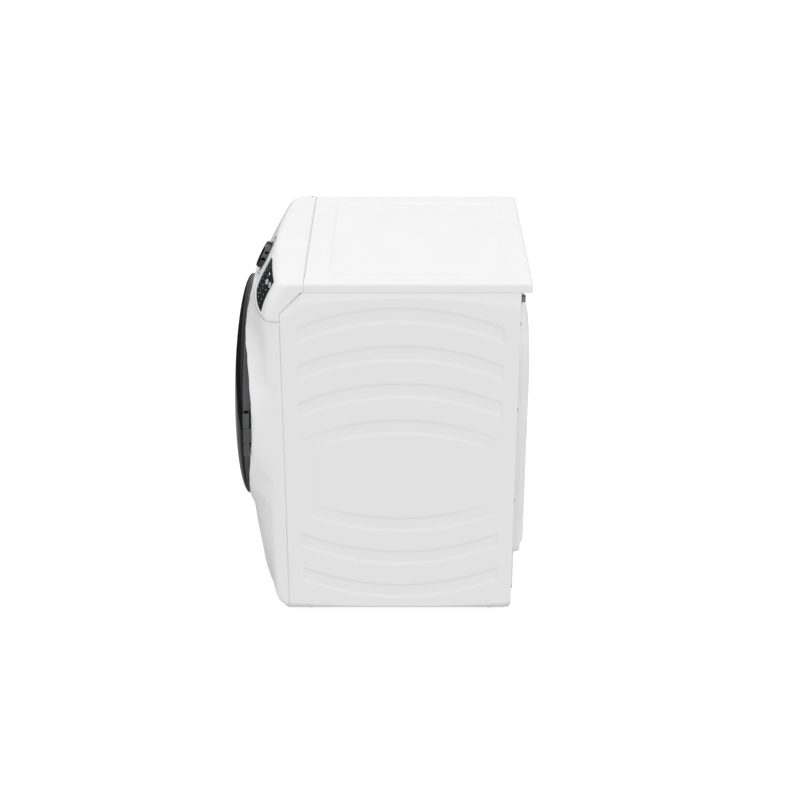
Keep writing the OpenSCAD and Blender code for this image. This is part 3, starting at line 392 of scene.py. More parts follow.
def front_y(x, z):
    """Depth of the front face: the bow below, the leaning console face above."""
    bow = BOW_CY - math.sqrt(BOW_R ** 2 - x * x)
    rho = CONSOLE_R + (CREASE_Z - z) * math.tan(LEAN)
    lean = CREASE_Y + CONSOLE_R - math.sqrt(rho * rho - x * x)
    return smooth_max(bow, lean, 24.0)


def corner(z, inset=0.0):
    """Corner arc that joins the front face to the flank at height z:
    the face's last x, the arc's first angle, its centre, its radius and the flank's x."""
    half = HALF_W - inset
    r = CORNER_R + 5 * step(SEAM_Z, TOP_Z, z) - inset
    start = 0.4
    for _ in range(5):
        x = half - r + r * math.sin(start)
        start = math.atan(front_y(x + 0.5, z) - front_y(x - 0.5, z))
    x = half - r + r * math.sin(start)
    return x, start, half - r, front_y(x, z) + inset + r * math.cos(start), r, half


def plan_point(w, z, inset=0.0, end_y=SIDE_FRONT - SEAM):
    """Point of the plan curve at height z. |w| runs 0..1 over the face, 1..2 round the corner
    and 2..3 along the flank to end_y."""
    sign = math.copysign(1.0, w)
    w = abs(w)
    x_end, start, cx, cy, r, half = corner(z, inset)
    if w <= 1:
        x = w * x_end
        return (sign * x, front_y(x, z) + inset, z)
    if w <= 2:
        a = mix(start, math.pi / 2, w - 1)
        return (sign * (cx + r * math.sin(a)), cy - r * math.cos(a), z)
    return (sign * half, mix(cy, end_y, w - 2), z)


def along(z, end_y):
    """Lengths of the three stretches of half the plan curve at height z."""
    x_end, start, _, cy, r, _ = corner(z)
    return x_end, r * (math.pi / 2 - start), end_y - cy


def plan_by_length(share, z, end_y):
    """The plan curve at height z by its share of the half length, -1 to 1."""
    parts = along(z, end_y)
    d = abs(share) * sum(parts)
    for k, part in enumerate(parts):
        if d <= part or k == 2:
            return plan_point(math.copysign(k + min(d / part, 1.0), share), z, 0.0, end_y)
        d -= part


def share_of_x(x, z, end_y):
    """The share of the half length at which the plan curve has this x."""
    x_end, start, cx, _, r, _ = corner(z)
    d = abs(x)
    if d > x_end:
        d = x_end + r * (math.asin(min((d - cx) / r, 1.0)) - start)
    return math.copysign(d / sum(along(z, end_y)), x)


def base_y(x, z):
    """Depth of the plain skin at (x, z), corner included."""
    x_end, _, cx, cy, r, _ = corner(z)
    x = abs(x)
    return front_y(x, z) if x <= x_end else cy - math.sqrt(max(r * r - (x - cx) ** 2, 0.0))


# ---------- Front panel ----------

# Finger pull: half its length, and its floor in door axes
PULL_HALF = 75.0
PULL_FLOOR = -28.0
# Least and greatest width of the flare towards the rim, and the room beside it where it turns soft
FLARE_LOW, FLARE_HIGH = 14.0, 80.0
SOFT_FROM, SOFT_TO = 14.0, 50.0
# Rings of the skin, and how far it turns back along the console's seam
SKIN_RINGS = 34
TURN_BACK = 22.0
# Slot for the door's strike, in door axes
STRIKE_SLOT = ((-264, -14, -60), (-246, 14, -20))
# Height of the rim in door axes at angles from the level, the same on both sides
RIM = [(-90, -14), (-70, -11), (-50, -10), (-34, -12), (-27, -14), (-13, -20), (0, -25.5), (14, -25),
       (25, -20), (37, -14), (45, -8), (52, -6), (60, -7), (70, -10.5), (80, -13), (90, -14)]


def lip_height(x, y):
    """Local height of the raised rim, which is cut down at the finger pull."""
    a = math.degrees(math.atan2(y, abs(x)))
    k = max(i for i in range(len(RIM) - 1) if RIM[i][0] <= a or i == 0)
    (a0, h0), (a1, h1) = RIM[k], RIM[k + 1]
    h = mix(h0, h1, step(a0, a1, a))
    if x > 0:
        return h
    return mix(PULL_FLOOR, h, step(PULL_HALF - 3, PULL_HALF + 3, abs(y)))


def flared(point):
    """The plain skin drawn forward towards the rim round the door."""
    x, y, z = point
    dz = z - DOOR_Z
    r = math.hypot(x, dz)
    c, s = x / r, dz / r
    rx, rz = LIP_R * c, LIP_R * s
    lip = door_point(rx, rz, lip_height(rx, rz))[1]
    rise = base_y(rx, DOOR_Z + rz) - lip
    room = 0.97 * (HALF_W / max(abs(c), 1e-3) - LIP_R)
    reach = mix(FLARE_LOW, min(FLARE_HIGH, max(room, 8.0)), step(-4.0, 8.0, rise))
    t = (r - LIP_R) / reach
    if t >= 1:
        return point
    t = max(t, 0.0)
    soft = step(SOFT_FROM, SOFT_TO, room)
    fall = mix(1 - t ** 2.2, (1 - t) ** 2.2, soft)
    return (x, y - rise * fall, z)


# How far the lower front draws back, by height over its bottom edge
TUCK = [(0, 34), (5, 29), (14, 25), (28, 22.5), (59, 18.5), (91, 14.5), (122, 9.5), (153, 5.5), (190, 2),
        (225, 0)]
# Radius of the round along the bottom of the corners
FOOT_R = 33.0


def tucked(point, share):
    """The lower front draws back towards the floor; the corners only round off at the bottom."""
    x, y, z = point
    d = z - BASE_Z
    if d >= TUCK[-1][0]:
        return point
    k = max(i for i in range(len(TUCK) - 1) if TUCK[i][0] <= d or i == 0)
    (d0, a0), (d1, a1) = TUCK[k], TUCK[k + 1]
    foot = mix(a0, a1, (d - d0) / (d1 - d0))
    room = max(SIDE_FRONT - SEAM - y, 1e-3)
    turn = FOOT_R - math.sqrt(FOOT_R ** 2 - max(FOOT_R - d, 0.0) ** 2)
    corner_foot = room * (1 - math.exp(-turn / room))
    return (x, y + mix(foot, corner_foot, step(0.60, 1.0, abs(share))), z)


def front_panel():
    end_y = SIDE_FRONT - SEAM
    z_low, z_high = BASE_Z, SEAM_Z - SEAM
    half = sum(along(DOOR_Z, end_y))
    up = math.atan2(z_high - DOOR_Z, half)
    down = math.atan2(z_low - DOOR_Z, half)
    sectors = [(down, up, 84), (up, math.pi - up, 84), (math.pi - up, math.pi - down, 84),
               (-math.pi - down, down, 70)]
    angles = [a for lo, hi, n in sectors for a in spread(lo, hi, n)[:-1]]
    rays = []
    for a in angles:
        c, s = math.cos(a), math.sin(a)
        z0 = min(DOOR_Z + LIP_R * s, z_high)
        share0 = share_of_x(LIP_R * c, z0, end_y)
        side = half / max(abs(c), 1e-9)
        edge = (z_high - DOOR_Z) / s if s > 1e-9 else (z_low - DOOR_Z) / s if s < -1e-9 else 1e9
        out = min(side, edge)
        rays.append((share0, z0, out * c / half, DOOR_Z + out * s))
    loops = [[]]
    for k in range(SKIN_RINGS, -1, -1):
        t = (k / SKIN_RINGS) ** 1.7
        loop = []
        for share0, z0, share1, z1 in rays:
            share, z = mix(share0, share1, t), mix(z0, z1, t)
            point = plan_by_length(share, z, end_y)
            loop.append(flared(tucked(point, share)))
        loops.append(loop)
    for x, y, z in loops[1]:
        at_seam = z > z_high - 1
        loops[0].append((x, min(y + TURN_BACK, SIDE_FRONT), z) if at_seam else (x, y, z))
    bead = [(LIP_R - 1.4, 1.1), (LIP_R - 3.5, 1.9), (LIP_R - 6.5, 2.2), (LIP_R - 9.5, 1.7),
            (LIP_R - 12, 0.3), (LIP_R - 13.4, -2.0)]
    seat = [(LIP_IN, SEAT_Z + 1.0), (LIP_IN - 1, SEAT_Z), (296, SEAT_Z), (268, SEAT_Z), (240, SEAT_Z),
            (222.5, SEAT_Z), (220.6, SEAT_Z - 0.6), (TUNNEL_R, SEAT_Z - 2), (TUNNEL_R, SEAT_Z - 9)]
    for r, rise in bead:
        loops.append([door_point(r * math.cos(a), r * math.sin(a),
                                 max(lip_height(r * math.cos(a), r * math.sin(a)) + rise, SEAT_Z + 1))
                      for a in angles])
    for r, z in seat:
        loops.append([door_point(r * math.cos(a), r * math.sin(a), z) for a in angles])
    panel = make("front_moulding", loft(loops), "cabinet", "white_moulding", ["front_panel"],
                 sharp=50, facing=(0, -1, 0), thick=2.0)
    cut(panel, make_cutter(span_box(*STRIKE_SLOT, door_point)))


# ---------- Console ----------

# Rounds between the console's top and its face and flank, and where its flank leaves the side panel
FRONT_FILLET = 34.0
FLANK_FILLET = 9.0
NOTCH_Z = SEAM_Z + 24


def console_end(z):
    """Rear edge of the console's flank: upright, then along the side panel's slope, then at the plate."""
    front = SIDE_FRONT - SEAM
    if z <= NOTCH_Z + 0.5:
        return front
    if z < UNDER_Z + 0.4:
        return front + (z - NOTCH_Z - 0.5) * (PLATE_FRONT - 7 - front) / (UNDER_Z - NOTCH_Z)
    return PLATE_FRONT - SEAM


def console():
    ws = [*spread(0, 1, 34), *spread(1, 2, 12)[1:], *spread(2, 3, 8)[1:]]
    ws = [-w for w in ws[:0:-1]] + ws
    levels = [*spread(SEAM_Z, NOTCH_Z, 3), *spread(NOTCH_Z + 0.6, UNDER_Z + 0.3, 8), UNDER_Z + 0.5,
              *spread(UNDER_Z + 2, UNDER_Z + 7.5, 2)]
    fillets = []
    for w in ws:
        flank = step(0.9, 2.0, abs(w))
        lean = math.atan(math.tan(LEAN) * math.cos(flank * math.pi / 2))
        fillets.append((mix(FRONT_FILLET, FLANK_FILLET, flank), lean))
    loops = [[plan_point(w, z, 0.0, console_end(z)) for w in ws] for z in levels]
    for k in range(11):
        loop = []
        for w, (r, lean) in zip(ws, fillets):
            a = mix(lean, math.pi / 2, k / 10)
            inset = r * math.tan((math.pi / 2 - lean) / 2) - r * math.cos(a)
            z = TOP_Z - r * (1 - math.sin(a))
            x, y, _ = plan_point(w, TOP_Z, inset, PLATE_FRONT - SEAM)
            loop.append((x, y, z))
        loops.append(loop)
    rim = loops[-1]
    for t in spread(0, 1, 8)[1:]:
        loops.append([(x, mix(y, PLATE_FRONT - SEAM, t), z) for x, y, z in rim])
    make("console_moulding", loft(loops, closed=False), "cabinet", "white_moulding",
         ["control_console"], sharp=40, facing=(0, -1, 0.6), thick=3.0)


# ---------- Display, knob and buttons ----------

# On the console, x runs across it and s down its slope from the crease
DISPLAY_X = (110.0, 300.0)
DISPLAY_S = (4.0, 97.0)
DISPLAY_CORNER = 34.0
MARK_ROWS = (30, 44, 58, 72, 84)
MARK_COLUMNS = (134, 156, 178, 200, 222, 244, 266)
# A thin mark's levels over the skin
MARK_LEVELS = [(0, 0.5), (0.2, 0.95), (0.4, 1.0)]
# Lit segments of a figure, as bits: clockwise from the top one, and the middle one last
SEGMENTS = {0: 63, 1: 6, 4: 102, 5: 109}
# The clock: where each figure stands, and which it is
CLOCK = ((138, 0), (152, 1), (170, 4), (184, 5))
CLOCK_S = 18

KNOB_DROP = 51.0
KNOB_R = 39.0
KNOB_H = 15.0
# Dial marks in each of the two arcs, over and under the knob, and the angle between them
TICKS = 11
TICK_TURN = 9


def on_console(x, s, out):
    """Point over the console's skin, s down the slope from the crease, raised by out."""
    z = CREASE_Z - s * math.cos(LEAN)
    slope = Vector((-(front_y(x + 1, z) - front_y(x - 1, z)) / 2, -1, math.tan(LEAN)))
    if z < SEAM_Z + 6:
        slope.z = (front_y(x, z + 1) - front_y(x, z - 1)) / 2
    slope.x = -slope.x
    n = slope.normalized()
    return (x + n.x * out, base_y(x, z) + n.y * out, z + n.z * out)


def rounded(x0, x1, s0, s1, radii, n=10):
    """Outline with a radius for each corner, in order from (x0, s0) towards (x1, s0)."""
    corners = [(x0, s0, 1, 1), (x1, s0, -1, 1), (x1, s1, -1, -1), (x0, s1, 1, -1)]
    starts = [180, 270, 0, 90]
    pts = []
    for (x, s, dx, ds), r, a0 in zip(corners, radii, starts):
        for k in range(n + 1):
            a = math.radians(a0 + 90 * k / n)
            pts.append((x + dx * r + r * math.cos(a), s + ds * r + r * math.sin(a)))
    full = []
    for (ax, ay), (bx, by) in zip(pts, pts[1:] + pts[:1]):
        count = max(1, int(math.hypot(bx - ax, by - ay) / 8))
        full += [(mix(ax, bx, t), mix(ay, by, t)) for t in spread(0, 1, count)[:-1]]
    return full


def middle(outline):
    return sum(p[0] for p in outline) / len(outline), sum(p[1] for p in outline) / len(outline)


def shrink(outline, by):
    """The outline drawn in towards its centre by a distance."""
    cx, cy = middle(outline)
    out = []
    for x, y in outline:
        d = math.hypot(x - cx, y - cy)
        k = max(d - by, 0.0) / d
        out.append((cx + (x - cx) * k, cy + (y - cy) * k))
    return out


def slab(outline, place, levels, fill=6):
    """A raised slab: levels are (draw-in, height), and the top closes over in rings."""
    loops = [[place(x, s, h) for x, s in shrink(outline, d)] for d, h in levels]
    top = shrink(outline, levels[-1][0])
    cx, cy = middle(top)
    for k in spread(1, 0, fill)[1:]:
        loops.append([place(cx + (x - cx) * k, cy + (y - cy) * k, levels[-1][1]) for x, y in top])
    return loft(loops)


def tube(path, radius, n=10):
    """A round bar along a path of points, closed at both ends."""
    loops = []
    for i, p in enumerate(path):
        a = Vector(path[max(i - 1, 0)])
        b = Vector(path[min(i + 1, len(path) - 1)])
        d = (b - a).normalized()
        side = d.cross(Vector((0, 0, 1)))
        side = side.normalized() if side.length > 0.1 else d.cross(Vector((1, 0, 0))).normalized()
        up = side.cross(d)
        r = radius * (0.35 if i in (0, len(path) - 1) else 1.0)
        loops.append([tuple(Vector(p) + side * r * math.cos(t) + up * r * math.sin(t))
                      for t in [2 * math.pi * k / n for k in range(n)]])
    return loft(loops, cap_first=True, cap_last=True)


def display():
    """The dark window, and the bead that follows its left and lower edges."""
    x0, x1 = DISPLAY_X
    s0, s1 = DISPLAY_S
    glass = rounded(x0, x1, s0, s1, (4, 4, 4, DISPLAY_CORNER))
    make("display_glass", slab(glass, on_console, [(0, -1.5), (0, 0.3), (0.5, 0.7), (1.2, 0.8)], 10),
         "cabinet", "display_black", ["display_window"], sharp=60)
    edge = rounded(x0 - 2.2, x1 + 3, s0 - 2, s1 + 2.6, (6, 6, 5, DISPLAY_CORNER + 3))
    kept = [x < x0 + DISPLAY_CORNER or s > s1 for x, s in edge]
    first = next(i for i in range(len(edge)) if kept[i] and not kept[i - 1])
    bead = (edge[first:] + edge[:first])[:sum(kept)]
    make("display_bead", tube([on_console(x, s, 0.4) for x, s in bead], 2.4), "cabinet",
         "white_moulding", sharp=60)


def legends():
    """Rows of plain short marks, a clock and one bright bar that glows as a painted highlight. There is no
    lettering.
    """
    bars = []
    for row, s in enumerate(MARK_ROWS):
        for col, x in enumerate(MARK_COLUMNS):
            if (row * 3 + col * 5) % 3 == 1 or (row == 0 and col > 3):
                continue
            long = 9 if (row + col) % 2 else 5
            bars.append(slab(rounded(x - long / 2, x + long / 2, s - 0.9, s + 0.9, (0.8,) * 4, 3),
                             on_console, MARK_LEVELS, 1))
    make("display_marks", join(*bars), "cabinet", "button_gray", sharp=60,
         material=glowing("mark_glow", (0.42, 0.43, 0.45), 0.2))
    digits = []
    for x, figure in CLOCK:
        digits += seven_bars(x, CLOCK_S, SEGMENTS[figure])
    make("display_clock", join(*digits), "cabinet", "button_gray", sharp=60,
         material=glowing("clock_glow", (0.05, 0.10, 0.16), 0.3))
    # Bright glowing bar on the display glass: a painted highlight, not a lamp
    bar = slab(rounded(203, 219, 17.8, 20.2, (1.0,) * 4, 4), on_console, MARK_LEVELS, 1)
    make("display_painted_highlight", bar, "cabinet", "button_gray", sharp=60,
         material=glowing("bar_painted_highlight", (0.85, 0.87, 0.9), 0.7))


def seven_bars(x, s, lit):
    """A seven-segment figure centred at (x, s): the lit segments are the bits of lit."""
    w, h, t = 4.0, 6.0, 0.55
    places = [(0, -h, 1), (w, -h / 2, 0), (w, h / 2, 0), (0, h, 1), (-w, h / 2, 0), (-w, -h / 2, 0),
              (0, 0, 1)]
    out = []
    for bit, (dx, ds, flat) in enumerate(places):
        if lit >> bit & 1:
            a, b = (w - 1, t) if flat else (t, h / 2 - 0.7)
            out.append(slab(rounded(x + dx - a, x + dx + a, s + ds - b, s + ds + b, (0.4,) * 4, 2),
                            on_console, [(0, 0.5), (0.1, 0.95), (0.2, 1.0)], 1))
    return out


def knob():
    place = face_place(0, KNOB_DROP)
    r, h = KNOB_R, KNOB_H
    skirt = [(0, 0.5), (r - 1.5, 0.5), (r - 0.2, 0.9), (r, 1.6)]
    wall = [(r - 0.1, 3), (r - 0.5, 6), (r - 0.9, 9), (r - 1.3, 11.5), (r - 1.7, h - 2), (r - 2.2, h - 1.2),
            (r - 3.2, h - 0.5), (r - 4.6, h - 0.2), (r - 6, h)]
    top = [(r - 7, h - 0.2), (r - 7.6, h - 0.6), (r - 8.6, h - 0.8), (20, h - 1.1), (10, h - 1.25),
           (0, h - 1.3)]
    make("knob_cap", revolve(skirt + wall + top, place, 144), "knob", "knob_graphite",
         ["control_knob"], sharp=50)
    mark = rounded(-1.1, 1.1, r - 20, r - 10, (1.0,) * 4, 4)
    make("knob_pointer", slab(mark, place, [(0, h - 1.8), (0, h - 0.6), (0.3, h - 0.4)], 1), "knob",
         "button_gray", sharp=60, material=surface("pointer_paint", (0.8, 0.8, 0.8), 0.4))
    # Thin dark ring round the knob's foot: painted shade that stands for the gap between knob and console
    gap_shade_collar = [(r - 2, 0.0), (r + 4, 0.0), (r + 4, 0.5), (r + 3.2, 0.9), (r + 1.4, 0.9), (r + 1, 0.5),
              (r - 2, 0.4)]
    make("knob_gap_shade_collar", revolve([(radius, z - 0.2) for radius, z in gap_shade_collar], place, 96), "cabinet",
         "knob_graphite", sharp=50)
    ticks = []
    for k in range(2 * TICKS):
        centre, place_in_arc = (90, k) if k < TICKS else (270, k - TICKS)
        a = math.radians(centre + (place_in_arc - TICKS // 2) * TICK_TURN)
        r0, r1 = r + 12, r + (20 if k % 2 else 16)
        c, s = math.cos(a), math.sin(a)
        quad = [(r0 * c - s * 0.7, r0 * s + c * 0.7), (r1 * c - s * 0.7, r1 * s + c * 0.7),
                (r1 * c + s * 0.7, r1 * s - c * 0.7), (r0 * c + s * 0.7, r0 * s - c * 0.7)]
        ticks.append(loft([[on_console(u, KNOB_DROP - v, h) for u, v in quad] for h in (-0.3, 0.25)],
                          cap_last=True))
    make("dial_marks", join(*ticks), "cabinet", "knob_graphite",
         material=surface("mark_ink", (0.12, 0.12, 0.125), 0.5), sharp=60)


def button(name, x, s, lamp):
    place = face_place(x, s)
    cap = rounded(-13, 13, -4.5, 4.5, (4.4,) * 4, 8)
    make(name + "_cap", slab(cap, place, [(0, -8), (0, 2.2), (0.4, 2.6), (1.0, 2.8)], 3), name,
         "button_gray", [name], sharp=50)
    bar = rounded(-9, 9, -1.1, 1.1, (1.0,) * 4, 4)
    make(name + "_lamp", slab(bar, place, [(0, 2.5), (0.1, 2.92), (0.3, 3.0)], 1), name,
         "button_gray", sharp=60, material=lamp)


# ---------- Side panels ----------

# Depth of the pressings, the width of their bevels and the radius of their arcs
PRESS = 3.0
BEVEL = 5.5
ARC_R = 640.0
# Upper and lower row of each pressed band, over the panel's foot at mid depth: arcs whose ends turn
# down, arcs whose ends turn up, and the two bands that close the window between them
FROWNS = [(890, 847), (786, 743), (681, 638)]
SMILES = [(180, 137), (74, 31)]
WINDOW_TOP = (576, 533)
WINDOW_LOW = (284, 240)
WINDOW_HALF = 222.0
BAND_HALF = 265.0
# Distances from mid depth: where the window's bands start to shallow, and where they fade out
SHALLOW_FROM = 110.0
FADE_FROM, FADE_TO = 236.0, 272.0
# Columns of the skin, by their distance from mid depth
COLUMNS = (*spread(0, 210, 21), 216, 219, 222, 225, 228, 236, 244, 252, 256, 259.5, 262, 265, 268, 276,
           286, 296, 299.5, 301.2, 302.4, 303.0)


def sag(y):
    """How far the arcs fall away at depth y from their height at mid depth."""
    return ARC_R - math.sqrt(ARC_R ** 2 - (y - SIDE_MID) ** 2)


def pressing(c, y):
    """Depth of the pressing at (row c, y), as a share of the full depth."""
    off = abs(y - SIDE_MID)
    depth = 0.0
    for top, low in FROWNS + SMILES:
        if low <= c <= top:
            inside = min(top - c, c - low)
            depth = min(inside / BEVEL, 1.0) * (1 - step(BAND_HALF - BEVEL, BAND_HALF, off))
    fade = 1 - step(FADE_FROM, FADE_TO, off)
    sides = 0.5 * step(WINDOW_HALF - 3, WINDOW_HALF + 3, off) * fade
    across = (1 - 0.5 * step(SHALLOW_FROM, WINDOW_HALF, off)) * fade
    if WINDOW_LOW[0] < c < WINDOW_TOP[1]:
        depth = sides
    for top, low in (WINDOW_TOP, WINDOW_LOW):
        if low <= c <= top:
            up, down = min((top - c) / BEVEL, 1.0), min((c - low) / BEVEL, 1.0)
            outer, inner = (up, down) if top == WINDOW_TOP[0] else (down, up)
            depth = outer * mix(sides, across, inner)
    return depth


def top_edge(y):
    """Upper outline of a side panel, with its slope down to the front."""
    return min(UNDER_Z, NOTCH_Z + (y - SIDE_FRONT) * (UNDER_Z - NOTCH_Z) / (PLATE_FRONT - 6 - SIDE_FRONT))


def low_edge(y):
    """Lower outline of a side panel, cut off at an angle at its rear corner."""
    return BASE_Z + max(0.0, 12 * (y - SIDE_REAR + 10) / 10)


def row_z(c, y):
    """Height of row c at depth y: rows follow the pressed arcs and straighten at the edges."""
    if c > FROWNS[0][0] + 4:
        start = FROWNS[0][0] + 4
        t = (c - start) / (UNDER_Z - BASE_Z - start)
        return mix(BASE_Z + start - sag(y), top_edge(y), t)
    if c < SMILES[-1][1] - 4:
        start = SMILES[-1][1] - 4
        return mix(low_edge(y), BASE_Z + start + sag(y), c / start)
    t = min(max((WINDOW_TOP[1] - 6 - c) / (WINDOW_TOP[1] - WINDOW_LOW[0] - 12), 0.0), 1.0)
    return BASE_Z + c + mix(-1.0, 1.0, t) * sag(y)


def side_panel(sign):
    bands = [*FROWNS, WINDOW_TOP, WINDOW_LOW, *SMILES]
    rows = {0.0, 5.0, 14.0, 900.0, 912.0, UNDER_Z - BASE_Z}
    for top, low in bands:
        rows |= {top + 3, top, top - BEVEL, top - BEVEL - 3, low + BEVEL + 3, low + BEVEL, low, low - 3}
        rows |= {(top + low) / 2}
    for (_, above), (below, _) in zip(bands, bands[1:]):
        rows |= set(spread(above - 3, below + 3, max(2, int((above - below) / 22))))
    rows = sorted(rows)
    cols = sorted({round(SIDE_MID + way * off, 3) for off in COLUMNS for way in (1, -1)})
    loops = []
    for c in rows:
        loop = []
        for y in cols:
            edge = min(y - SIDE_FRONT, SIDE_REAR - y)
            curl = 0.7 * (1 - math.sqrt(max(1 - (1 - min(edge, 2.0) / 2.0) ** 2, 0.0)))
            x = HALF_W - curl - PRESS * pressing(c, y)
            loop.append((sign * x, y, row_z(c, y)))
        loops.append(loop)
    name = "right" if sign > 0 else "left"
    make(name + "_side_skin", loft(loops, closed=False), "cabinet", "white_enamel",
         [name + "_side_panel"], sharp=50, facing=(sign, 0, 0), thick=1.2)


# ---------- Top panel ----------

# Round of the plate's edge, and the recessed field: half its width, its ends and its corners
EDGE_R = 9.0
FIELD_HALF = 275.0
FIELD_FRONT = PLATE_FRONT + 62
FIELD_REAR = PLATE_REAR - 59
FIELD_CORNER = 25.0


def plate_loop(half, y0, y1, z, front_r, rear_r, n=8):
    """Closed loop at height z: a rectangle with its own radius at the front and the rear corners."""
    corners = [(half, y1, rear_r, 0), (-half, y1, rear_r, 90), (-half, y0, front_r, 180),
               (half, y0, front_r, 270)]
    loop = []
    for x, y, r, a0 in corners:
        for k in range(n + 1):
            a = math.radians(a0 + 90 * k / n)
            loop.append((x - math.copysign(r, x) + r * math.cos(a),
                         y - (r if y == y1 else -r) + r * math.sin(a), z))
    return loop


def top_panel():
    loops = [plate_loop(HALF_W, PLATE_FRONT, PLATE_REAR, UNDER_Z, 0.5, 8),
             plate_loop(HALF_W, PLATE_FRONT, PLATE_REAR, UNDER_Z + 2, 0.5, 8)]
    for a in spread(0, math.pi / 2, 9):
        inset = EDGE_R * (1 - math.cos(a))
        front = 0.6 * (1 - math.cos(a))
        loops.append(plate_loop(HALF_W - inset, PLATE_FRONT + front, PLATE_REAR - inset,
                                TOP_Z - EDGE_R * (1 - math.sin(a)), 0.6, 12 + inset))
    for t in (0.15, 0.5, 0.85):
        loops.append(plate_loop(mix(HALF_W - EDGE_R, FIELD_HALF + 5, t), mix(PLATE_FRONT, FIELD_FRONT - 5, t),
                                mix(PLATE_REAR - EDGE_R, FIELD_REAR + 5, t), TOP_Z,
                                mix(1, FIELD_CORNER + 5, t), mix(20, FIELD_CORNER + 5, t)))
    for grow, drop in ((5, 0), (3.5, 0.15), (2, 0.7), (0, 1.6), (-2, 2.4), (-3.5, 2.85), (-5, 3), (-9, 3)):
        loops.append(plate_loop(FIELD_HALF + grow, FIELD_FRONT - grow, FIELD_REAR + grow, TOP_Z - drop,
                                FIELD_CORNER + grow, FIELD_CORNER + grow))
    make("top_plate", loft(loops, cap_last=True), "cabinet", "white_enamel", ["top_panel"], sharp=50,
         facing=(0, 0, 1), thick=1.2)


# ---------- Rear ----------

# The cover inside its flange: half its width, its ends and how far its face stands off the panel
COVER_HALF = 280.0
COVER_LOW, COVER_HIGH = cover_lo.z + 10, cover_hi.z - 10
COVER_FACE = 35.6
# Heights over COVER_LOW, and the columns of louvres either side of the middle
RIB_ROWS = (52, 92, 470, 510)
LOUVRE_ROWS = [170 + 34 * i for i in range(7)]
LOUVRE_COLUMNS = (-118, 0, 118)


def arch_loop(grow, top_grow, y, n=12):
    """Arched loop behind the rear panel: wide upper corners and small lower ones."""
    half, low, high = COVER_HALF + grow, COVER_LOW - grow, COVER_HIGH + top_grow
    top_r, foot_r = max(170 + grow, 40), max(30 + grow, 8)
    corners = [(half - top_r, high - top_r, top_r, 0), (-half + top_r, high - top_r, top_r, 90),
               (-half + foot_r, low + foot_r, foot_r, 180), (half - foot_r, low + foot_r, foot_r, 270)]
    loop = []
    for x, z, r, a0 in corners:
        for k in range(n + 1):
            a = math.radians(a0 + 90 * k / n)
            loop.append((x + r * math.cos(a), y, z + r * math.sin(a)))
    return loop


def rear_cover():
    profile = [(10, 10, 0.2), (10, 10, 1.4), (4, 4, 1.6), (2.4, 2, 2.4), (1.2, -1, 5.5), (0, -14, 14),
               (-1.5, -26, 20.5), (-3.5, -32, 24), (-7, -38, 26), (-14, -48, 26.6), (-21, -58, 27.2),
               (-24, -64, 29), (-26, -70, 31.6), (-29, -76, 34), (-33, -82, 35.2), (-40, -90, 35.5),
               (-70, -115, COVER_FACE), (-120, -160, COVER_FACE), (-180, -260, COVER_FACE)]
    loops = [arch_loop(g, t, SIDE_REAR + d) for g, t, d in profile]
    make("rear_cover_pan", loft(loops, cap_last=True), "cabinet", "rear_enamel", ["rear_cover"],
         sharp=50, facing=(0, 1, 0), thick=1.2)
    ribs = []
    face = SIDE_REAR + COVER_FACE
    for row in RIB_ROWS:
        outline = rounded(-225, 225, -9, 9, (8.9,) * 4, 8)
        ribs.append(slab(outline, lambda u, v, h, z=COVER_LOW + row: (u, face + h, z + v),
                         [(0, -1.0), (0.3, 0.3), (1.6, 1.6), (3.4, 2.3)], 2))
    make("rear_cover_ribs", join(*ribs), "cabinet", "rear_enamel", sharp=60)
    louvres = [louvre(cx, face, COVER_LOW + row) for row in LOUVRE_ROWS for cx in LOUVRE_COLUMNS]
    make("rear_cover_louvres", join(*louvres), "cabinet", "rear_enamel", sharp=50)


def duct_plate():
    """Plate within the depth of the service pans that closes the notch round the exhaust duct."""
    lo, hi = box_mm("exhaust_duct")
    cx, cz = (lo.x + hi.x) / 2, (lo.z + hi.z) / 2
    side, up, down, hole = 58.0, 54.6, 56.0, 51.4
    y0, y1 = SIDE_REAR + 8.2, SIDE_REAR + 9.5
    turn = [2 * math.pi * k / 64 for k in range(64)]
    square, ring = [], []
    for a in turn:
        c, s = math.cos(a), math.sin(a)
        k = min(side / max(abs(c), 1e-9), (up if s > 0 else down) / max(abs(s), 1e-9))
        square.append((cx + k * c, cz + k * s))
        ring.append((cx + hole * c, cz + hole * s))
    loops = [[(x, y, z) for x, z in edge]
             for edge, y in ((square, y0), (square, y1), (ring, y1), (ring, y0), (square, y0))]
    make("duct_plate", loft(loops), "cabinet", "white_enamel", sharp=40)


def louvre(cx, y, z, half=42.0, height=11.0, lift=2.3, n=16):
    """A lanced scoop: a half-lens that opens downwards."""
    loops = []
    for t in spread(0, 1, 6):
        ring = []
        for k in range(n + 1):
            u = -1 + 2 * k / n
            body = math.sqrt(max(1 - u * u, 0.0))
            ring.append((cx + u * half, y - 0.4 + (lift + 0.4) * body * math.cos(t * math.pi / 2),
                         z + height * t * body - (0 if t else 1.5 * body)))
        loops.append(ring)
    return loft(loops, closed=False)


# ---------- Door ----------


def dome(r):
    return DOME_H * math.sqrt(max(1 - (r / DOOR_R) ** 2, 0.0))


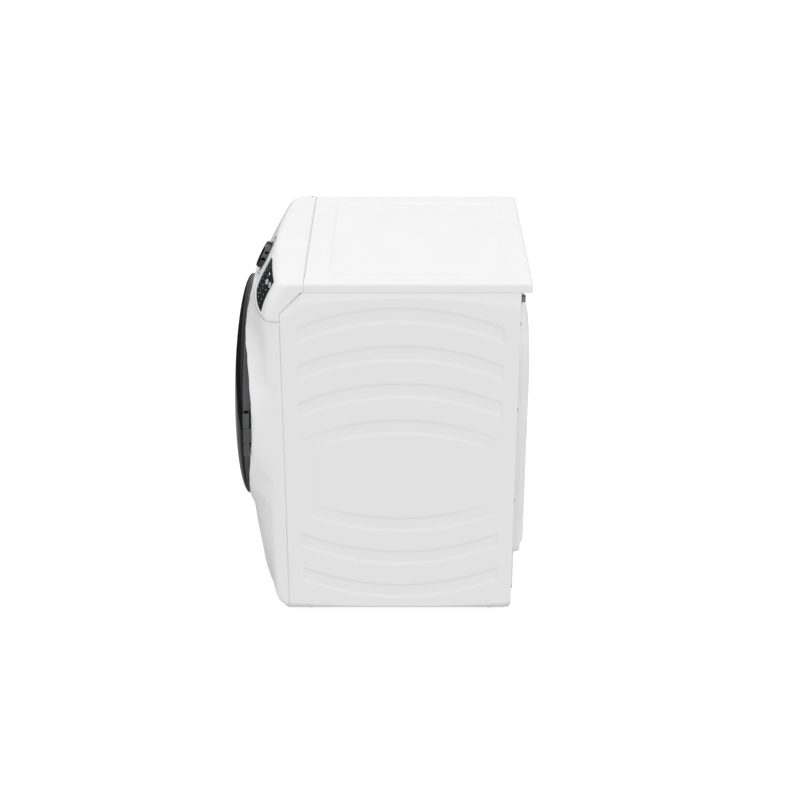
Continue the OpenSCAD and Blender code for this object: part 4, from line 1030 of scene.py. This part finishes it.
def door_ring():
    """The door's trim, its frame with room for the hinge and the finger pull, and its lens."""
    inner = GLASS_R + 0.5
    outer = [(r, dome(r)) for r in spread(inner + 0.8, DOOR_R - 6, 10)]
    edge = [(DOOR_R - 4, dome(DOOR_R - 4)), (DOOR_R - 2, dome(DOOR_R - 2)),
            (DOOR_R - 0.8, dome(DOOR_R - 0.8) - 0.2), (DOOR_R - 0.1, 0.6)]
    front = [(inner, dome(inner) - 4), (inner, dome(inner) - 0.9), (inner + 0.25, dome(inner) - 0.25)]
    make("door_trim", revolve(front + outer + edge + [(DOOR_R - 0.6, 0.0), (DOOR_R - 6, -1)], door_point,
                              256), "door", "door_dark_glass", sharp=40)
    wall = [(inner, dome(inner) - 4), (300, -1.0), (DOOR_R - 0.7, -0.6), (DOOR_R - 0.3, -1.2),
            (DOOR_R - 0.2, -2), (DOOR_R - 0.5, -5), (DOOR_R - 2.6, -16), (DOOR_R - 3.4, -19.8),
            (DOOR_R - 4.2, -21.3), (DOOR_R - 6, RING_BACK), (215, RING_BACK), (212, RING_BACK + 1),
            (212, RING_BACK + 4), (296, RING_BACK + 4), (300, -5), (inner, dome(inner) - 6),
            (inner, dome(inner) - 4)]
    ring = make("door_frame", revolve(wall, door_point, 256), "door", "door_dark_ring", ["door_ring"],
                sharp=35)
    cut(ring, make_cutter(span_box((DOOR_R - 16, -61, RING_BACK - 1), (DOOR_R + 14, 61, -3), door_point)),
        make_cutter(span_box((-DOOR_R - 4, -62, RING_BACK - 1), (-DOOR_R + 20, 62, -9), door_point)))
    smooth(ring.data, 35)
    lens = [(r, dome(r)) for r in spread(0, GLASS_R - 0.8, 36)]
    rim = [(GLASS_R - 0.2, dome(GLASS_R) - 0.3), (GLASS_R, dome(GLASS_R) - 1.2), (GLASS_R, dome(GLASS_R) - 4)]
    back = [(r, dome(r) - 4) for r in spread(GLASS_R - 4, 0, 24)]
    make("door_lens", revolve(lens + rim + back, door_point, 256), "door", "door_dark_glass",
         ["door_glass"], sharp=40)


# Hinge axis in door axes, the barrels' radius and the foot of the fixed post
HINGE_X, HINGE_Z = 320.0, -10.0
BARREL_R = 8.4
POST_FOOT = -32.0


def barrel(y0, y1):
    """Turned hinge barrel along the hinge axis, with eased ends."""
    r = BARREL_R
    ends = [(0, y0), (r - 0.9, y0), (r - 0.2, y0 + 0.3), (r, y0 + 1), (r, y1 - 1), (r - 0.2, y1 - 0.3),
            (r - 0.9, y1), (0, y1)]
    return revolve(ends, lambda u, v, w: door_point(HINGE_X + u, w, HINGE_Z + v), 32)


def hinge():
    """Dark hinge: the door's two barrels on their leaf, the fixed barrel on its post."""
    arms = [barrel(22, 60), barrel(-60, -22)]
    for lo, hi in ((22.5, 58), (-58, -22.5)):
        arms.append(span_box((HINGE_X - 40, lo, -18), (HINGE_X - 4, hi, -14), door_point))
    arms.append(span_box((HINGE_X - 62, -58, -18), (HINGE_X - 36, 58, -14), door_point))
    make("hinge_leaf", join(*arms), "door", "door_dark_ring", ["hinge_arm"], sharp=40)
    post = [barrel(-21.4, 21.4)]
    post.append(span_box((HINGE_X - 3, -20, POST_FOOT), (HINGE_X + 3, 20, HINGE_Z), door_point))
    post.append(span_box((HINGE_X - 6, -28, POST_FOOT), (HINGE_X + 6, 28, POST_FOOT + 3), door_point))
    make("hinge_post", join(*post), "cabinet", "door_dark_ring", ["hinge_bracket"], sharp=40)


def hinge_cover():
    """Thin cover plates let into the door's side wall, above and below the hinge."""
    parts = []
    for a0, a1 in ((68, 105), (-105, -68)):
        angles = spread(math.asin(a0 / DOOR_R), math.asin(a1 / DOOR_R), 12)
        section = [(DOOR_R - 3.0, -20.5), (DOOR_R - 2.6, -21.0), (DOOR_R - 1.6, -20.4),
                   (DOOR_R - 0.1, -6), (DOOR_R + 0.3, -4.2), (DOOR_R + 0.1, -3.4), (DOOR_R - 1.2, -3.2)]
        loops = [[door_point(r * math.cos(a), r * math.sin(a), z) for r, z in section] for a in angles]
        parts.append(loft(loops, cap_first=True, cap_last=True))
    make("hinge_cover", join(*parts), "door", "door_dark_ring", sharp=40)


# ---------- Drum interior ----------


def drum_beads():
    """Four rolled beads inside the drum."""
    lo, hi = box_mm("drum_shell")
    cz = (lo.z + hi.z) / 2
    r = (hi.x - lo.x) / 2

    def place(y):
        return lambda u, v, w: (u, y + w, cz + v)

    rings = []
    for y in (lo.y + 60, lo.y + 130, hi.y - 130, hi.y - 60):
        profile = [(r - 1.2, -5), (r - 2.6, -3.4), (r - 3.6, -1.2), (r - 3.6, 1.2), (r - 2.6, 3.4),
                   (r - 1.2, 5)]
        rings.append(revolve(profile, place(y), 144))
    make("drum_beads", join(*rings), "drum", "drum_steel", sharp=60)


# ---------- Studio ----------


def floor():
    half = 20.0
    mesh = bpy.data.meshes.new("floor")
    mesh.from_pydata([(-half, -half, 0), (half, -half, 0), (half, half, 0), (-half, half, 0)], [],
                     [(0, 1, 2, 3)])
    obj = bpy.data.objects.new("floor", mesh)
    scene.collection.objects.link(obj)
    m, tree, shader = nodes_of("pale_floor")
    place = coordinates(tree)
    tree.links.new(tinted(tree, noise(tree, place, 3.0), (0.20, 0.20, 0.20), 0.01),
                   shader.inputs["Base Color"])
    tree.links.new(ranged(tree, noise(tree, place, 8.0), 0.85, 0.95), shader.inputs["Roughness"])
    shader.inputs["Specular IOR Level"].default_value = 0.0
    shader.inputs["Emission Color"].default_value = (1, 1, 1, 1)
    shader.inputs["Emission Strength"].default_value = 0.92
    mesh.materials.append(m)
    obj.visible_glossy = obj.visible_diffuse = False


def stops(tree, height, levels):
    """Brightness of the surroundings by height of the ray, -1 to 1."""
    ramp = tree.nodes.new("ShaderNodeValToRGB")
    shape = ramp.color_ramp
    for k, (z, level) in enumerate(levels):
        e = shape.elements[k] if k < 2 else shape.elements.new(1.0)
        e.position = z / 2 + 0.5
        e.color = (level, level, level, 1)
    tree.links.new(height, ramp.inputs["Fac"])
    return ramp.outputs["Color"]


def studio():
    """Soft white surroundings that dim downwards. Reflections see dark cards among the lights."""
    world = bpy.data.worlds.new("studio")
    scene.world = world
    world.use_nodes = True
    tree = world.node_tree
    link = tree.links.new
    where = tree.nodes.new("ShaderNodeTexCoord")
    split = tree.nodes.new("ShaderNodeSeparateXYZ")
    link(where.outputs["Generated"], split.inputs["Vector"])
    lift = tree.nodes.new("ShaderNodeMath")
    lift.operation = "MULTIPLY_ADD"
    lift.inputs[1].default_value = 0.5
    lift.inputs[2].default_value = 0.5
    link(split.outputs["Z"], lift.inputs[0])
    side = tree.nodes.new("ShaderNodeMapRange")
    side.inputs["From Min"].default_value = -0.14
    side.inputs["From Max"].default_value = -0.12
    link(split.outputs["Y"], side.inputs["Value"])
    height = lift.outputs[0]
    ahead = stops(tree, height, [(-0.95, 0.03), (-0.60, 0.05), (-0.412, 0.07), (-0.402, 0.002),
                                 (-0.05, 0.002), (0.05, 0.10), (1.0, 0.18)])
    behind = stops(tree, height, [(-0.90, 0.006), (-0.85, 0.08), (-0.412, 0.08), (-0.404, 0.002),
                                  (-0.380, 0.002), (-0.374, 0.09), (0.46, 0.12), (0.49, 0.002),
                                  (0.73, 0.002), (0.75, 0.10), (1.0, 0.14)])
    cards = tree.nodes.new("ShaderNodeMix")
    cards.data_type = "RGBA"
    link(side.outputs[0], cards.inputs[0])
    link(ahead, cards.inputs[6])
    link(behind, cards.inputs[7])
    soft = stops(tree, height, [(-1.0, SKY_LOW), (1.0, 1.0)])
    path = tree.nodes.new("ShaderNodeLightPath")
    shade = None
    for colour, strength, ray in ((soft, SKY_HIGH, None), (cards.outputs[2], 5.0, "Is Glossy Ray"),
                                  (None, 1.0, "Is Camera Ray")):
        glow = tree.nodes.new("ShaderNodeBackground")
        glow.inputs["Strength"].default_value = strength
        if colour:
            link(colour, glow.inputs["Color"])
        else:
            glow.inputs["Color"].default_value = (1, 1, 1, 1)
        if not ray:
            shade = glow.outputs[0]
            continue
        pick = tree.nodes.new("ShaderNodeMixShader")
        link(path.outputs[ray], pick.inputs[0])
        link(shade, pick.inputs[1])
        link(glow.outputs[0], pick.inputs[2])
        shade = pick.outputs[0]
    link(shade, tree.nodes["World Output"].inputs["Surface"])


# Camera: its elevation, its distance in metres, its lens and sensor, and its aim over half height
ELEVATION = math.radians(25.911)
DISTANCE = 4.3519
LENS = 69.48
SENSOR = 36
AIM_OVER = 0.003


def camera():
    """At the right-hand side of the machine, looking down on it."""
    target = Vector((0, SIDE_MID * MM, TOP_Z * MM / 2 + AIM_OVER))
    back = Vector((math.cos(ELEVATION), 0, math.sin(ELEVATION)))
    data = bpy.data.cameras.new("camera")
    data.lens = LENS
    data.sensor_width = SENSOR
    cam = bpy.data.objects.new("camera", data)
    cam.location = target + back * DISTANCE
    cam.rotation_euler = (-back).to_track_quat("-Z", "Y").to_euler()
    scene.collection.objects.link(cam)
    scene.camera = cam


# ---------- Everything ----------

camera()
studio()
floor()
for node, obj in nodes.items():
    for holder in obj.material_slots:
        if holder.material and holder.material.name in FINISHES:
            holder.material = finish(holder.material.name)
nodes["cord_gland"].material_slots[0].material = surface("gland_gray", (0.24, 0.24, 0.245), 0.5)
for sign in (-1, 1):
    side_panel(sign)
top_panel()
front_panel()
console()
display()
legends()
knob()
button("start_button", 232, 34, glowing("start_glow", (0.30, 0.31, 0.33), 0.25))
button("power_button", 282, 22, glowing("power_glow", (0.01, 0.06, 0.14), 0.35))
rear_cover()
duct_plate()
door_ring()
hinge_cover()
hinge()
drum_beads()
